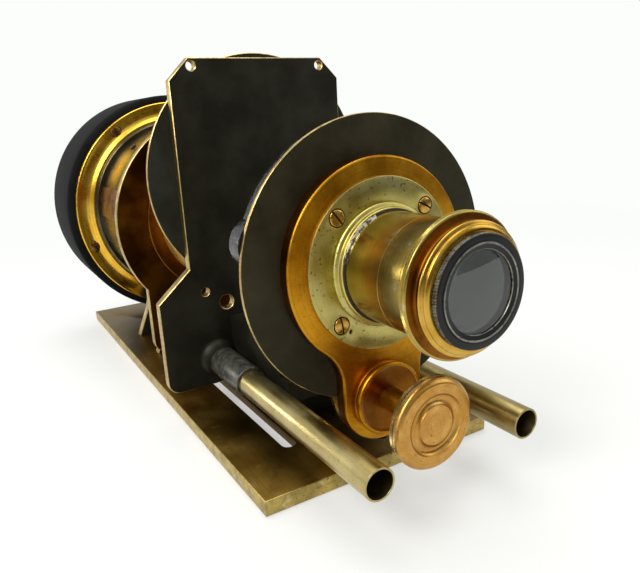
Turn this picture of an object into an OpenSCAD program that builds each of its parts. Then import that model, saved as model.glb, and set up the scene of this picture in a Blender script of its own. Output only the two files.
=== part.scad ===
// Projection microscope: a focusing head on a guide block, a stage plate with
// a revolving disc behind it, two support rods and a sliding condenser, all on
// one slotted base. Millimetres. The front faces -Y, y = 0 is the front of the
// stage plate, x = 0 is the optical plane and z = 0 is the table.

/* [Fits] */
// Radial clearance of running fits
run_gap = 0.05; // [0.02:0.01:0.1]
// Radial clearance of fixed pieces that are pushed together
seat_gap = 0.05; // [0.02:0.01:0.1]

/* [Optical axis] */
// Height of the optical axis above the table
axis_h = 90.7; // [89:0.1:95]

/* [Base] */
// Width of the base
base_w = 115.6; // [112:0.2:130]
// Length of the base
base_l = 305; // [300:1:340]
// Thickness of the base
base_t = 6.8; // [6:0.1:8]
// Reach of the base in front of the stage plate
base_reach = 97.3; // [90:0.5:110]
// Width of a clamping slot
slot_w = 6.4; // [6:0.1:7]
// Distance between the middles of the two slots
slot_spacing = 59.4; // [58:0.2:66]
// Reach of the slots in front of the stage plate
slot_reach = 67; // [60:0.5:75]
// Length of a slot
slot_l = 232; // [215:1:240]
// Width of the rebate under a slot
rebate_w = 11; // [10.5:0.1:12]
// Depth of the rebate under a slot
rebate_d = 3; // [2.8:0.1:3.4]
// Diameter of the countersunk head of a base screw
base_screw_head_d = 8; // [7:0.2:9]

/* [Guide block] */
// Width of the guide block
block_w = 53; // [50:0.2:54]
// Reach of the guide block in front of the stage plate
block_reach = 61.5; // [58:0.5:64]
// Reach of the guide cap in front of the stage plate
cap_reach = 54; // [50:0.5:57]
// Height of the guide cap above the focusing axis
cap_h = 15.5; // [13:0.5:16]
// Floor of the guide under the bar
block_floor = 2.5; // [2:0.1:4]
// Width of the pedestal under the guide block
pedestal_w = 48; // [40:0.5:50]
// Reach of the pedestal in front of the stage plate
pedestal_reach = 45; // [40:0.5:50]
// Distance between the two rows of cap screws
cap_screw_row = 36; // [34:0.5:40]
// Diameter of the small slotted screw heads
screw_head_d = 6.4; // [5.6:0.1:6.8]
// Diameter of the small screw shanks
screw_d = 3.2; // [2.8:0.1:3.6]
// Thickness of the small screw heads
screw_head_h = 1.6; // [1.2:0.1:2]
// Width of a screwdriver slot
screw_slot_w = 0.8; // [0.6:0.1:1]

/* [Focusing bar and knob] */
// Height of the focusing axis above the base
focus_rise = 27.7; // [26:0.1:29]
// Width of the focusing bar
bar_w = 20; // [18:0.5:22]
// Height of the focusing bar
bar_h = 16; // [14:0.5:18]
// Length of the focusing bar behind the front disc
bar_l = 54.8; // [53:0.2:56]
// Length of the tapered root of the bar behind the front disc
root_l = 9.8; // [8:0.2:12]
// Diameter of the back of the tapered root
root_back_d = 33; // [30:0.5:36]
// Diameter of the focusing screw
screw_rod_d = 6; // [5:0.2:7]
// Distance from the stage plate to the front of the focusing nut
nut_reach = 24; // [23:0.5:25]
// Length of the focusing nut
nut_l = 6; // [5:0.5:8]
// Distance from the stage plate to the back end of the focusing screw
screw_rod_back = 8; // [7:0.2:9]
// Diameter of the knob stem
stem_d = 10; // [9:0.2:11]
// Diameter of the thrust collar on the stem
thrust_d = 15; // [14:0.2:17]
// Diameter of the knob
knob_d = 36.4; // [34:0.2:38]
// Thickness of the knob
knob_t = 5.1; // [4.5:0.1:6]
// Gap between the knob boss and the knob
knob_standoff = 22.9; // [21:0.1:25]
// Diameter of the knob boss
boss_d = 31.2; // [29:0.2:33]
// Thickness of the knob boss
boss_t = 4.3; // [4:0.1:5]

/* [Head] */
// Distance from the stage plate to the back of the front disc
head_reach = 89.8; // [88:0.2:93]
// Diameter of the front disc
disc_d = 114.3; // [110:0.1:116]
// Thickness of the front disc
disc_t = 1.5; // [1.2:0.1:2]
// Diameter of the round part of the pear plate
pear_d = 83.3; // [80:0.1:86]
// Thickness of the pear plate
pear_t = 5.7; // [5:0.1:6.5]
// Width of the lobe of the pear plate
lobe_w = 39; // [38:0.2:41]
// Radius of the hollow between the round part and the lobe
neck_r = 20.8; // [18:0.2:24]
// Outer diameter of the backing behind the front disc
backing_d = 113.2; // [108:0.2:114]
// Width of the band of the backing
backing_w = 12.6; // [10:0.2:14]
// Thickness of the backing
backing_t = 9.8; // [8:0.2:11]
// Diameter of the rounded ends of the backing
backing_end_d = 16; // [15:0.2:18]
// Diameter of the mounting flange
flange_d = 68.2; // [66:0.1:70]
// Thickness of the mounting flange
flange_t = 2; // [1.6:0.1:2.4]
// Pitch radius of the flange screws
flange_screw_r = 29.2; // [28.6:0.1:29.6]
// Diameter of the barrel collar
collar_d = 48.8; // [47:0.2:50]
// Length of the barrel collar
collar_l = 4.6; // [4:0.1:6]
// Diameter of the barrel
barrel_d = 43; // [42:0.1:44]
// Wall of the barrel
barrel_wall = 1.6; // [1.2:0.1:2]
// Length of the barrel in front of the pear plate
barrel_l = 43; // [41:0.2:45]

/* [Lens mount] */
// Diameter of the milled flange of the lens mount
mount_d = 50.9; // [49:0.1:52]
// Diameter of the second flange of the lens mount
mount_ridge_d = 45.3; // [44:0.1:46]
// Length of the lens mount in front of the barrel
mount_l = 8.5; // [8:0.1:10]
// Length of the mount spigot inside the barrel
mount_spigot_l = 6; // [5:0.1:9]
// Diameter of the lens cell
cell_d = 38.5; // [38:0.1:39]
// Length of the lens cell in front of the mount
cell_l = 2.3; // [2:0.1:3]
// Diameter of the cell thread
cell_thread_d = 35.9; // [35.6:0.1:36.2]
// Outer diameter of the retaining ring
ring_d = 33.7; // [33.4:0.1:34]
// Clear diameter of the front lens
lens_clear_d = 28.2; // [27:0.1:29]
// Length of the objective behind the front disc
objective_l = 65.8; // [60:0.2:68]
// Diameter of the objective
objective_d = 24; // [22:0.5:26]

/* [Stage plate] */
// Thickness of the stage plate
plate_t = 4.9; // [4:0.1:6]
// Width of the top edge of the stage plate
plate_top_w = 70.7; // [68:0.1:74]
// Width of the stage plate
plate_w = 90.8; // [88:0.1:94]
// Rise of the top edge above the optical axis
plate_rise = 85.5; // [82:0.1:88]
// Height of the cut corners
plate_corner_h = 9.9; // [8:0.1:12]
// Drop from the optical axis to the start of the foot flare
flare_drop = 13.1; // [11:0.1:15]
// Height of the foot flare
flare_h = 15; // [13:0.1:17]
// Width of the foot of the stage plate
foot_w = 125.2; // [122:0.2:128]
// Gap between the base and the bottom edge of the stage plate
foot_gap = 8.1; // [7:0.1:9]
// Radius of the bottom corners of the upright plates
foot_corner_r = 6; // [4:0.5:8]
// Diameter of the light hole
light_hole_d = 25; // [20:0.5:27]
// Diameter of the hanging holes in the top corners
hang_hole_d = 4.4; // [3.6:0.1:5]
// Distance between the hanging holes
hang_hole_spacing = 68.6; // [66:0.2:70]
// Distance of the hanging holes below the top edge
hang_hole_inset = 3.6; // [3.4:0.1:5]
// Diameter of the small peg holes
peg_hole_d = 4.3; // [3.5:0.1:5]
// Distance between the small peg holes
peg_hole_spacing = 76.8; // [75:0.2:79]
// Drop from the optical axis to the small peg holes
peg_hole_drop = 25.7; // [24:0.1:27]
// Diameter of the large peg holes
large_hole_d = 7.4; // [6.5:0.1:8]
// Distance between the large peg holes
large_hole_spacing = 55; // [53:0.2:57]
// Drop from the optical axis to the large peg holes
large_hole_drop = 32.9; // [31.5:0.1:34]

/* [Revolving disc] */
// Diameter of the revolving disc
wheel_d = 118.1; // [114:0.1:120]
// Thickness of the revolving disc
wheel_t = 1.8; // [1.4:0.1:2.4]
// Gap between the stage plate and the revolving disc
wheel_gap = 0.5; // [0.4:0.1:0.8]
// Distance from the pivot to the middle of each aperture
aperture_r = 29.2; // [28:0.1:31]
// Diameter of the largest aperture
aperture_max_d = 25; // [22:0.5:27]
// Difference between one aperture and the next
aperture_step = 6; // [4:0.5:6.5]
// Diameter of the disc hub
hub_d = 18; // [16:0.5:20]
// Thickness of the disc hub
hub_t = 2.5; // [2:0.1:3]
// Diameter of the pivot
pivot_d = 8; // [7:0.2:9]
// Diameter of the pivot head
pivot_head_d = 12; // [11:0.2:14]

/* [Support rods] */
// Outer diameter of a rod
rod_d = 12.5; // [12:0.1:13]
// Wall of a rod
rod_wall = 0.8; // [0.6:0.1:1.2]
// Length of a rod
rod_l = 161; // [158:0.5:165]
// Distance between the rods
rod_spacing = 69.8; // [69.6:0.1:72]
// Drop from the focusing axis to the rods
rod_drop = 5.45; // [4.5:0.1:6.5]
// Reach of the rods in front of the stage plate
rod_reach = 140.8; // [138:0.2:143]
// Wall of a sleeve
sleeve_wall = 1.15; // [0.9:0.05:1.2]
// Reach of a sleeve in front of the stage plate
sleeve_reach = 40; // [36:0.5:42]
// Length of a sleeve behind the stage plate
sleeve_back_l = 10; // [8:0.5:12]
// Diameter of the bead at the foot of a sleeve
bead_d = 20.4; // [19:0.2:21]
// Thickness of the bead at the foot of a sleeve
bead_t = 2.6; // [2:0.1:3.5]

/* [Condenser] */
// Distance from the stage plate to the condenser plate
condenser_y = 67.6; // [66:0.2:70]
// Thickness of the condenser plate
condenser_t = 4.8; // [4:0.1:5.5]
// Diameter of the round top of the condenser plate
condenser_d = 124.8; // [122:0.2:127]
// Width of the foot of the condenser plate
condenser_foot_w = 99.6; // [97:0.2:102]
// Gap between the base and the bottom edge of the condenser plate
condenser_gap = 7.2; // [6:0.1:8]
// Diameter of the field tube
field_d = 74.9; // [73:0.1:76]
// Wall of the lens tubes behind the stage
tube_wall = 1.6; // [1.3:0.1:2]
// Length of the field tube
field_l = 44; // [42:0.5:48]
// Reach of the field tube in front of the condenser plate
field_reach = 31.6; // [28:0.2:33]
// Width of the flange round the field tube
field_flange_w = 7.55; // [6:0.05:9]
// Thickness of the flange round the field tube
field_flange_t = 1.4; // [1:0.1:2]
// Diameter of the rear barrel
rear_d = 112; // [111:0.1:113]
// Length of the rear barrel
rear_l = 71.6; // [70:0.2:73]
// Diameter of the rear flange
rear_flange_d = 142.1; // [140:0.1:144]
// Thickness of the rim of the rear flange
rear_flange_t = 3.4; // [3:0.1:4]
// Diameter of the collar in the rear flange
rear_collar_d = 118.6; // [117:0.1:120]
// Length of the collar in front of the drum
rear_collar_l = 7.5; // [6.5:0.1:9]
// Pitch radius of the rear flange screws
rear_screw_r = 66; // [65:0.1:66.6]
// Number of rear flange screws
rear_screw_n = 5; // [4:1:8]
// Diameter of the drum
drum_d = 151.6; // [148:0.2:154]
// Length of the drum
drum_l = 56.8; // [53:0.2:60]
// Front wall of the drum
drum_front_t = 6; // [5:0.2:8]
// Diameter of the socket in the back of the drum
socket_d = 136; // [132:0.5:140]
// Edge thickness of the condenser lens
condenser_edge_t = 4; // [3:0.1:5]
// Bulge of the condenser lens
condenser_bulge = 14; // [10:0.5:18]
// Distance from the condenser plate to the condenser lens edge
condenser_lens_y = 49.6; // [44:0.2:52]
// Edge thickness of the field lens
field_edge_t = 3; // [2:0.1:4]
// Bulge of each side of the field lens
field_bulge = 5; // [3:0.5:7]
// Thickness of the lens retaining rings
stop_t = 3; // [2:0.1:4]
// Width of the lens retaining rings
stop_w = 2.8; // [2:0.1:3.5]

/* [Carriage] */
// Thickness of a carriage leg
leg_t = 6; // [5:0.1:7]
// Width of a leg on the base
leg_foot_w = 88.6; // [84:0.2:94]
// Width of a leg at its waist
leg_waist_w = 68; // [64:0.2:72]
// Distance from the condenser plate to the front leg
front_leg_y = 11.6; // [8:0.2:14]
// Distance between the front faces of the two legs
leg_spacing = 42; // [38:0.2:46]
// Width of the saddle bar
saddle_w = 74; // [72:0.5:78]
// Thickness of the saddle bar
saddle_t = 5; // [4:0.1:6]
// Diameter of a clamp stud
stud_d = 5; // [4.5:0.1:5.6]
// Height of a clamp stud above the saddle bar
stud_rise = 13; // [11:0.5:15]
// Diameter of a clamp nut
nut_d = 14.6; // [13:0.2:15]
// Height of a clamp nut
nut_h = 8; // [7:0.2:9]

/* [Hidden] */
$fn = 96;
eps = 0.01;
focus_h = base_t + focus_rise;
head_back = -head_reach;
disc_front = head_back - disc_t;
pear_front = disc_front - pear_t;
flange_front = pear_front - flange_t;
barrel_front = pear_front - barrel_l;
mount_front = barrel_front - mount_l;
boss_front = pear_front - boss_t;
knob_back = boss_front - knob_standoff;
lobe_r = lobe_w / 2;
root_r = lobe_r - 0.3;
block_bottom = focus_h - bar_h / 2 - run_gap - block_floor;
rod_h = focus_h - rod_drop;
sleeve_r = rod_d / 2 + run_gap + sleeve_wall;
pivot_h = axis_h + aperture_r;
wheel_front = plate_t + wheel_gap;
wheel_back = wheel_front + wheel_t;
condenser_back = condenser_y + condenser_t;
drum_front = condenser_back + rear_l;
leg_front = condenser_y + condenser_t + front_leg_y;
saddle_top = base_t + saddle_t;
slot_x = slot_spacing / 2;
stud_y = leg_front + (leg_spacing + leg_t) / 2;
screw_r = screw_d / 2;
screw_shank_l = 5;
first_cap_screw = 16;
last_cap_screw_in = 10;
cap_screw_y = [-first_cap_screw, last_cap_screw_in - cap_reach];
stage_screw_x = block_w / 2 - 8.5;
stage_screw_low = 4;
stage_screw_high = 9;
stage_screw_z = [focus_h - stage_screw_low, focus_h + stage_screw_high];
thrust_t = 1.6;
thrust_room = 1.8;
bead_room = 0.3;
neck_bite = 0.05;
journal_l = 3.4;
base_screw_inset = 0.2;
set_screw_y = 44.6;
set_screw_d = 4.4;
tab_y = 22;
tab_t = 0.8;
cell_thread_l = 7;
cell_seat = 4.6;
ring_t = 0.9;
lens_bulge = 0.9;
rear_dish_w = 4.4;
knob_ring_r = 12.8;
knob_cove_r = 12;
mount_rim_t = 2.3;
leg_flare_h = 17.8;
leg_waist_h = 29;
lobe_screw_d = 4.4;
lobe_screw_l = 5;
lobe_screw_out = 0.9;
field_lens_inset = 11;

// Places children on the optical axis at y, with their own z running back along +Y
module on_axis(y) {
    translate([0, y, axis_h]) rotate([-90, 0, 0]) children();
}

// The same on the focusing axis
module on_focus(y) {
    translate([0, y, focus_h]) rotate([-90, 0, 0]) children();
}

// Stands a shape drawn in x and z upright, with its front face at y
module upright(y, t) {
    translate([0, y + t, 0]) rotate([90, 0, 0]) linear_extrude(t) children();
}

// Tube along z
module tube(r_out, r_in, h) {
    difference() {
        cylinder(r = r_out, h = h);
        translate([0, 0, -eps]) cylinder(r = r_in, h = h + 2 * eps);
    }
}

// Slotted round-head screw: the head stands in front of z = 0, the shank runs back
module slotted_screw(head_d, head_h, shank_d, shank_l) {
    difference() {
        rotate_extrude() polygon([
            [0, -head_h], [head_d * 0.3, -head_h], [head_d * 0.46, -head_h * 0.6],
            [head_d / 2, 0], [shank_d / 2, 0], [shank_d / 2, shank_l], [0, shank_l]
        ]);
        translate([-head_d / 2, -screw_slot_w / 2, -head_h - eps])
            cube([head_d, screw_slot_w, head_h / 2]);
    }
}

module small_screw(shank_l = screw_shank_l) {
    slotted_screw(screw_head_d, screw_head_h, screw_d, shank_l);
}

// Hole for the shank of a small screw, running back from z = 0
module small_screw_hole(l = screw_shank_l) {
    translate([0, 0, -eps]) cylinder(r = screw_r + seat_gap, h = l + seat_gap + eps);
}

// Points on an arc of a lens face, from the middle out to radius r
function bulge_points(r, sag, z, way, n = 12) =
    let (big = (r * r + sag * sag) / (2 * sag))
    [for (i = [0 : n])
        let (q = r * i / n)
        [q, z + way * (sqrt(big * big - q * q) - (big - sag))]];

module slot_outline(w) {
    front = slot_w / 2 - slot_reach;
    back = slot_l - slot_reach - slot_w / 2;
    for (y = [front, back]) translate([0, y]) circle(d = w);
    translate([-w / 2, front]) square([w, back - front]);
}

// Countersunk screw driven up from under the base; gap widens it into its hole
module base_screw(gap = 0, inset = 0) {
    head_r = base_screw_head_d / 2 + gap;
    shank_r = base_screw_head_d / 4 + gap;
    rotate_extrude() polygon([
        [0, -inset], [head_r, -inset], [head_r, 0.3], [shank_r, head_r - shank_r + 0.3],
        [shank_r, base_t + 9 + gap], [0, base_t + 9 + gap]
    ]);
}

module at_base_screws() {
    for (f = [0.28, 0.75]) translate([0, -pedestal_reach * f, base_screw_inset]) children();
}

module base_plate() {
    color("darkgoldenrod") difference() {
        translate([-base_w / 2, -base_reach, 0]) cube([base_w, base_l, base_t]);
        for (s = [-1, 1]) translate([s * slot_x, 0, -eps]) {
            linear_extrude(base_t + 2 * eps) slot_outline(slot_w);
            linear_extrude(rebate_d + eps) slot_outline(rebate_w);
        }
        at_base_screws() base_screw(seat_gap, 1);
    }
}

module base_screws() {
    color("goldenrod") at_base_screws() base_screw();
}

module guide_channel() {
    w = bar_w + 2 * run_gap;
    h = bar_h + 2 * run_gap;
    translate([-w / 2, -block_reach - eps, focus_h - h / 2])
        cube([w, block_reach + 2 * eps, h]);
}

module at_cap_screws() {
    for (x = [-1, 1], y = cap_screw_y) translate([x * cap_screw_row / 2, y, focus_h + cap_h])
        rotate([180, 0, 0]) children();
}

module at_stage_screws() {
    for (x = [-1, 1], z = stage_screw_z) translate([x * stage_screw_x, plate_t, z])
        rotate([90, 0, 0]) children();
}

// Room in the block and its cap for the beads of the sleeves
module bead_relief() {
    for (x = [-1, 1]) translate([x * rod_spacing / 2, -bead_t - bead_room, rod_h])
        rotate([-90, 0, 0]) cylinder(r = bead_d / 2 + bead_room, h = bead_t + bead_room + eps);
}

module guide_block() {
    color("#2b2a22") difference() {
        union() {
            translate([-block_w / 2, -block_reach, block_bottom])
                cube([block_w, block_reach, focus_h - block_bottom]);
            translate([-pedestal_w / 2, -pedestal_reach, base_t])
                cube([pedestal_w, pedestal_reach, focus_h - base_t]);
        }
        guide_channel();
        at_cap_screws() small_screw_hole(cap_h + screw_shank_l);
        at_stage_screws() small_screw_hole(plate_t + screw_shank_l);
        at_base_screws() base_screw(seat_gap);
        bead_relief();
    }
}

module guide_cap() {
    color("#22221c") difference() {
        translate([-block_w / 2, -cap_reach, focus_h]) cube([block_w, cap_reach, cap_h]);
        guide_channel();
        at_cap_screws() small_screw_hole(cap_h + screw_shank_l);
        at_stage_screws() small_screw_hole(plate_t + screw_shank_l);
        bead_relief();
    }
}

module guide_cap_screws() {
    color("#6d6a50") at_cap_screws() small_screw(cap_h + screw_shank_l);
}

module focus_nut() {
    w = bar_w + 2 * run_gap;
    h = bar_h + 2 * run_gap;
    color("goldenrod") difference() {
        translate([-w / 2, -nut_reach, focus_h - h / 2]) cube([w, nut_l, h]);
        on_focus(-nut_reach - eps) cylinder(d = screw_rod_d + 2 * run_gap, h = nut_l + 2 * eps);
    }
}

module stage_outline() {
    r = foot_corner_r;
    top = axis_h + plate_rise;
    bottom = base_t + foot_gap;
    half = [
        [foot_w / 2 - r, bottom], [foot_w / 2, bottom + r],
        [foot_w / 2, axis_h - flare_drop - flare_h], [plate_w / 2, axis_h - flare_drop],
        [plate_w / 2, top - plate_corner_h], [plate_top_w / 2, top]
    ];
    polygon(concat(half, [for (i = [5 : -1 : 0]) [-half[i][0], half[i][1]]]));
    for (s = [-1, 1]) translate([s * (foot_w / 2 - r), bottom + r]) circle(r);
}

module stage_holes() {
    translate([0, axis_h]) circle(d = light_hole_d);
    translate([0, pivot_h]) circle(d = pivot_d / 2 + 2 * seat_gap);
    translate([0, focus_h]) circle(d = screw_rod_d + 1.2);
    for (s = [-1, 1]) {
        translate([s * hang_hole_spacing / 2, axis_h + plate_rise - hang_hole_inset])
            circle(d = hang_hole_d);
        translate([s * peg_hole_spacing / 2, axis_h - peg_hole_drop]) circle(d = peg_hole_d);
        translate([s * large_hole_spacing / 2, axis_h - large_hole_drop])
            circle(d = large_hole_d);
        translate([s * rod_spacing / 2, rod_h]) circle(r = sleeve_r + seat_gap);
        for (z = stage_screw_z) translate([s * stage_screw_x, z]) circle(r = screw_r + seat_gap);
    }
}

module stage_plate() {
    color("#33332b") upright(0, plate_t) difference() {
        stage_outline();
        stage_holes();
    }
}

module stage_screws() {
    color("#6d6a50") at_stage_screws() small_screw(plate_t + screw_shank_l);
}

module sleeve(side) {
    color("#3a3c38") translate([side * rod_spacing / 2, 0, rod_h]) rotate([-90, 0, 0])
        difference() {
            union() {
                translate([0, 0, -sleeve_reach])
                    cylinder(r = sleeve_r, h = sleeve_reach + plate_t + sleeve_back_l);
                translate([0, 0, -bead_t]) cylinder(d1 = 2 * sleeve_r + 1, d2 = bead_d, h = bead_t / 2);
                translate([0, 0, -bead_t / 2]) cylinder(d = bead_d, h = bead_t / 2);
            }
            translate([0, 0, -sleeve_reach - eps])
                cylinder(d = rod_d + 2 * run_gap, h = sleeve_reach + plate_t + sleeve_back_l + 2 * eps);
        }
}

module sleeve_left() {
    sleeve(-1);
}

module sleeve_right() {
    sleeve(1);
}

module rod(side) {
    color("#a8955a") translate([side * rod_spacing / 2, -rod_reach, rod_h]) rotate([-90, 0, 0])
        tube(rod_d / 2, rod_d / 2 - rod_wall, rod_l);
}

module rod_left() {
    rod(-1);
}

module rod_right() {
    rod(1);
}

// Stud riveted into the stage plate, with a shoulder, a journal and a head
module disc_pivot() {
    hub_back = wheel_back + hub_t + run_gap;
    color("#6d6a50") translate([0, 0, pivot_h]) rotate([-90, 0, 0]) rotate_extrude() polygon([
        [0, 0], [pivot_d / 4, 0], [pivot_d / 4, plate_t], [pivot_head_d / 2, plate_t],
        [pivot_head_d / 2, wheel_front - run_gap], [pivot_d / 2, wheel_front - run_gap],
        [pivot_d / 2, hub_back], [pivot_head_d / 2, hub_back],
        [pivot_head_d / 2, hub_back + 1.2], [pivot_head_d / 2 - 0.6, hub_back + 1.8],
        [0, hub_back + 1.8]
    ]);
}

module revolving_disc() {
    color("#262620") upright(wheel_front, wheel_t) difference() {
        translate([0, pivot_h]) circle(d = wheel_d);
        translate([0, pivot_h]) circle(d = pivot_d + 2 * run_gap);
        for (i = [0 : 3]) translate([0, pivot_h]) rotate(90 * i) translate([0, -aperture_r])
            circle(d = aperture_max_d - i * aperture_step);
    }
}

module disc_hub() {
    color("goldenrod") translate([0, wheel_back, pivot_h]) rotate([-90, 0, 0])
        tube(hub_d / 2, pivot_d / 2 + run_gap, hub_t);
}

module front_disc() {
    color("#2f2f28") difference() {
        on_axis(disc_front) cylinder(d = disc_d, h = disc_t);
        on_axis(disc_front - eps) cylinder(d = objective_d, h = disc_t + 2 * eps);
        on_focus(disc_front - eps) cylinder(r = root_r + seat_gap, h = disc_t + 2 * eps);
    }
}

// Casting behind the upper half of the disc, with two rounded ends
module disc_backing() {
    r = backing_d / 2;
    mid = r - backing_end_d / 2 + 2;
    end_angle = asin((backing_end_d / 2 + 4) / mid);
    color("#26261f") upright(head_back, backing_t) translate([0, axis_h]) {
        difference() {
            circle(r);
            circle(r - backing_w);
            translate([-r - 1, -r - 1]) square([2 * r + 2, r + 1 + mid * sin(end_angle)]);
        }
        for (s = [-1, 1]) translate([s * mid * cos(end_angle), mid * sin(end_angle)])
            circle(d = backing_end_d);
    }
}

module pear_outline() {
    r = pear_d / 2;
    x = lobe_r + neck_r;
    drop = sqrt((r + neck_r) * (r + neck_r) - x * x);
    translate([0, axis_h]) circle(r);
    translate([0, focus_h]) circle(lobe_r);
    difference() {
        polygon([
            [-lobe_r, focus_h], [lobe_r, focus_h], [lobe_r, axis_h - drop], [x, axis_h - drop],
            [0, axis_h], [-x, axis_h - drop], [-lobe_r, axis_h - drop]
        ]);
        for (s = [-1, 1]) translate([s * x, axis_h - drop]) circle(neck_r + neck_bite);
    }
}

module lobe_screw_place() {
    translate([0, (disc_front + pear_front) / 2, focus_h - lobe_r - lobe_screw_out]) children();
}

module pear_plate() {
    color("#b36d14") difference() {
        upright(pear_front, pear_t) difference() {
            pear_outline();
            translate([0, axis_h]) circle(barrel_d / 2 - barrel_wall - 1);
            translate([0, focus_h]) circle(stem_d / 2 + run_gap);
        }
        at_flange_screws(pear_front) small_screw_hole(screw_shank_l - flange_t);
        lobe_screw_place() cylinder(d = lobe_screw_d + 2 * seat_gap, h = lobe_screw_l + seat_gap);
    }
}

module lobe_screw() {
    color("#1c1c1a") lobe_screw_place() cylinder(d = lobe_screw_d, h = lobe_screw_l);
}

module at_flange_screws(y) {
    on_axis(y) for (a = [45 : 90 : 315]) rotate(a) translate([flange_screw_r, 0, 0])
        rotate(35) children();
}

// Bar with the tapered root that carries the lobe
module focus_bar() {
    bore = screw_rod_d / 2 + 0.6;
    color("#b8801f") difference() {
        union() {
            on_focus(disc_front) rotate_extrude() polygon([
                [0, 0], [root_r, 0], [root_r, disc_t + 2],
                [root_back_d / 2, disc_t + root_l], [0, disc_t + root_l]
            ]);
            translate([-bar_w / 2, head_back, focus_h - bar_h / 2]) cube([bar_w, bar_l, bar_h]);
        }
        on_focus(disc_front - eps) cylinder(r = bore, h = disc_t + bar_l + 2 * eps);
        on_focus(disc_front - eps) cylinder(d = stem_d + 2 * run_gap, h = journal_l + eps);
    }
}

// Cap on the lobe that holds the thrust collar of the knob
module knob_boss() {
    r = boss_d / 2;
    bore = stem_d / 2 + run_gap;
    room = thrust_d / 2 + 0.4;
    color("#b8701c") on_focus(boss_front) rotate_extrude() polygon([
        [bore, boss_t - thrust_room], [bore, 1.2], [bore + 1.6, 1.2], [r - 2.2, 0.7],
        [r - 1.2, 0], [r - 0.4, 0.1], [r, 0.6], [r, 2], [r - 0.4, 2.5], [r - 1.4, 2.7],
        [r - 1.4, 3.2], [r - 0.5, 3.4], [r - 0.5, boss_t], [room, boss_t],
        [room, boss_t - thrust_room]
    ]);
}

// Knob, stem with its thrust collar, and focusing screw in one piece
module focus_knob() {
    r = knob_d / 2;
    s = stem_d / 2;
    q = screw_rod_d / 2;
    back = knob_t;
    boss = back + knob_standoff + boss_t;
    journal = boss + pear_t + journal_l - 0.2;
    tip = -screw_rod_back - (knob_back - knob_t);
    color("#c07c38") on_focus(knob_back - knob_t) rotate_extrude() polygon([
        [0, 0.2], [8.2, 0.2], [8.6, 0.6], [10.2, 0.9], [knob_cove_r, 0.5], [knob_ring_r, 0],
        [r - 1, 0], [r - 0.2, 0.4], [r, 1], [r, 2.3], [r - 0.6, 2.5], [r - 0.6, 2.9],
        [r, 3.1], [r, back - 0.6], [r - 0.6, back], [s + 2.4, back], [s + 0.8, back + 1],
        [s, back + 3], [s, boss - thrust_t - 0.1], [thrust_d / 2, boss - thrust_t - 0.1],
        [thrust_d / 2, boss - 0.1], [s, boss - 0.1], [s, journal], [q, journal],
        [q, tip - 0.8], [q - 0.8, tip], [0, tip]
    ]);
}

module mount_flange() {
    color("#b5ab66") difference() {
        on_axis(flange_front) tube(flange_d / 2, barrel_d / 2 + seat_gap, flange_t);
        at_flange_screws(flange_front) small_screw_hole(screw_shank_l);
    }
}

module flange_screws() {
    color("#b8903a") at_flange_screws(flange_front) small_screw();
}

module barrel_collar() {
    r = collar_d / 2;
    bore = barrel_d / 2 + seat_gap;
    color("#b5a35a") on_axis(flange_front - collar_l) rotate_extrude() polygon([
        [bore, 0], [bore + 0.9, 0], [bore + 1.2, 0.5], [bore + 1.2, collar_l - 2.2],
        [r - 0.5, collar_l - 2], [r, collar_l - 1.5], [r, collar_l], [bore, collar_l]
    ]);
}

module barrel() {
    color("#9a8440") on_axis(barrel_front) tube(barrel_d / 2, barrel_d / 2 - barrel_wall, barrel_l);
}

module objective() {
    r = objective_d / 2;
    l = objective_l;
    color("#a8894a") on_axis(head_back) rotate_extrude() polygon([
        [r - 3, 0], [r + 4, 0], [r + 4, 3], [r, 3.6], [r, l * 0.5], [r - 1.5, l * 0.5 + 1],
        [r - 1.5, l - 10], [r - 2.2, l - 9.4], [r - 5, l], [r - 7, l], [r - 7, l - 5],
        [r - 4.5, l - 5.2], [r - 4.5, l - 12], [r - 3, l - 14]
    ]);
}

module objective_lens() {
    r = objective_d / 2 - 4.5 - seat_gap;
    back = objective_l - 5.3;
    color("#9fb3ad", 0.5) on_axis(head_back) rotate_extrude() polygon(concat(
        bulge_points(r, 1.2, back - 3, -1),
        [[r, back], [0, back]]
    ));
}

module lens_mount() {
    r = mount_d / 2;
    m = mount_ridge_d / 2;
    l = mount_l;
    rim = l - mount_rim_t;
    bore = cell_thread_d / 2 + run_gap;
    spigot = barrel_d / 2 - barrel_wall - run_gap;
    color("#b98a24") on_axis(mount_front) rotate_extrude() polygon([
        [bore, 0], [m - 2.3, 0], [m - 1.2, 0.4], [m - 0.4, 1.1], [m - 0.4, 1.8],
        [m, 2.2], [m, 2.7], [m - 0.6, 3.4], [m - 1, rim - 1.6], [m - 0.6, rim - 0.8],
        [r - 0.8, rim - 0.4], [r, rim], [r, l - 0.5], [r - 0.5, l],
        [spigot, l], [spigot, l + mount_spigot_l], [bore, l + mount_spigot_l]
    ]);
}

module lens_cell() {
    r = cell_d / 2;
    thread = cell_thread_d / 2;
    bore = ring_d / 2 + seat_gap;
    seat = lens_clear_d / 2;
    color("#2a2a2c") on_axis(mount_front - cell_l) rotate_extrude() polygon([
        [bore, 0], [r - 0.3, 0], [r, 0.3], [r, cell_l], [thread, cell_l],
        [thread, cell_l + cell_thread_l], [seat, cell_l + cell_thread_l], [seat, cell_seat],
        [bore, cell_seat]
    ]);
}

module cell_ring() {
    color("#8f8c84") on_axis(mount_front - cell_l) rotate_extrude() polygon([
        [ring_d / 2, -0.2], [ring_d / 2, ring_t], [lens_clear_d / 2, ring_t],
        [lens_clear_d / 2, ring_t - 0.4], [ring_d / 2 - 1, 0.2], [ring_d / 2 - 0.4, -0.2]
    ]);
}

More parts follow.
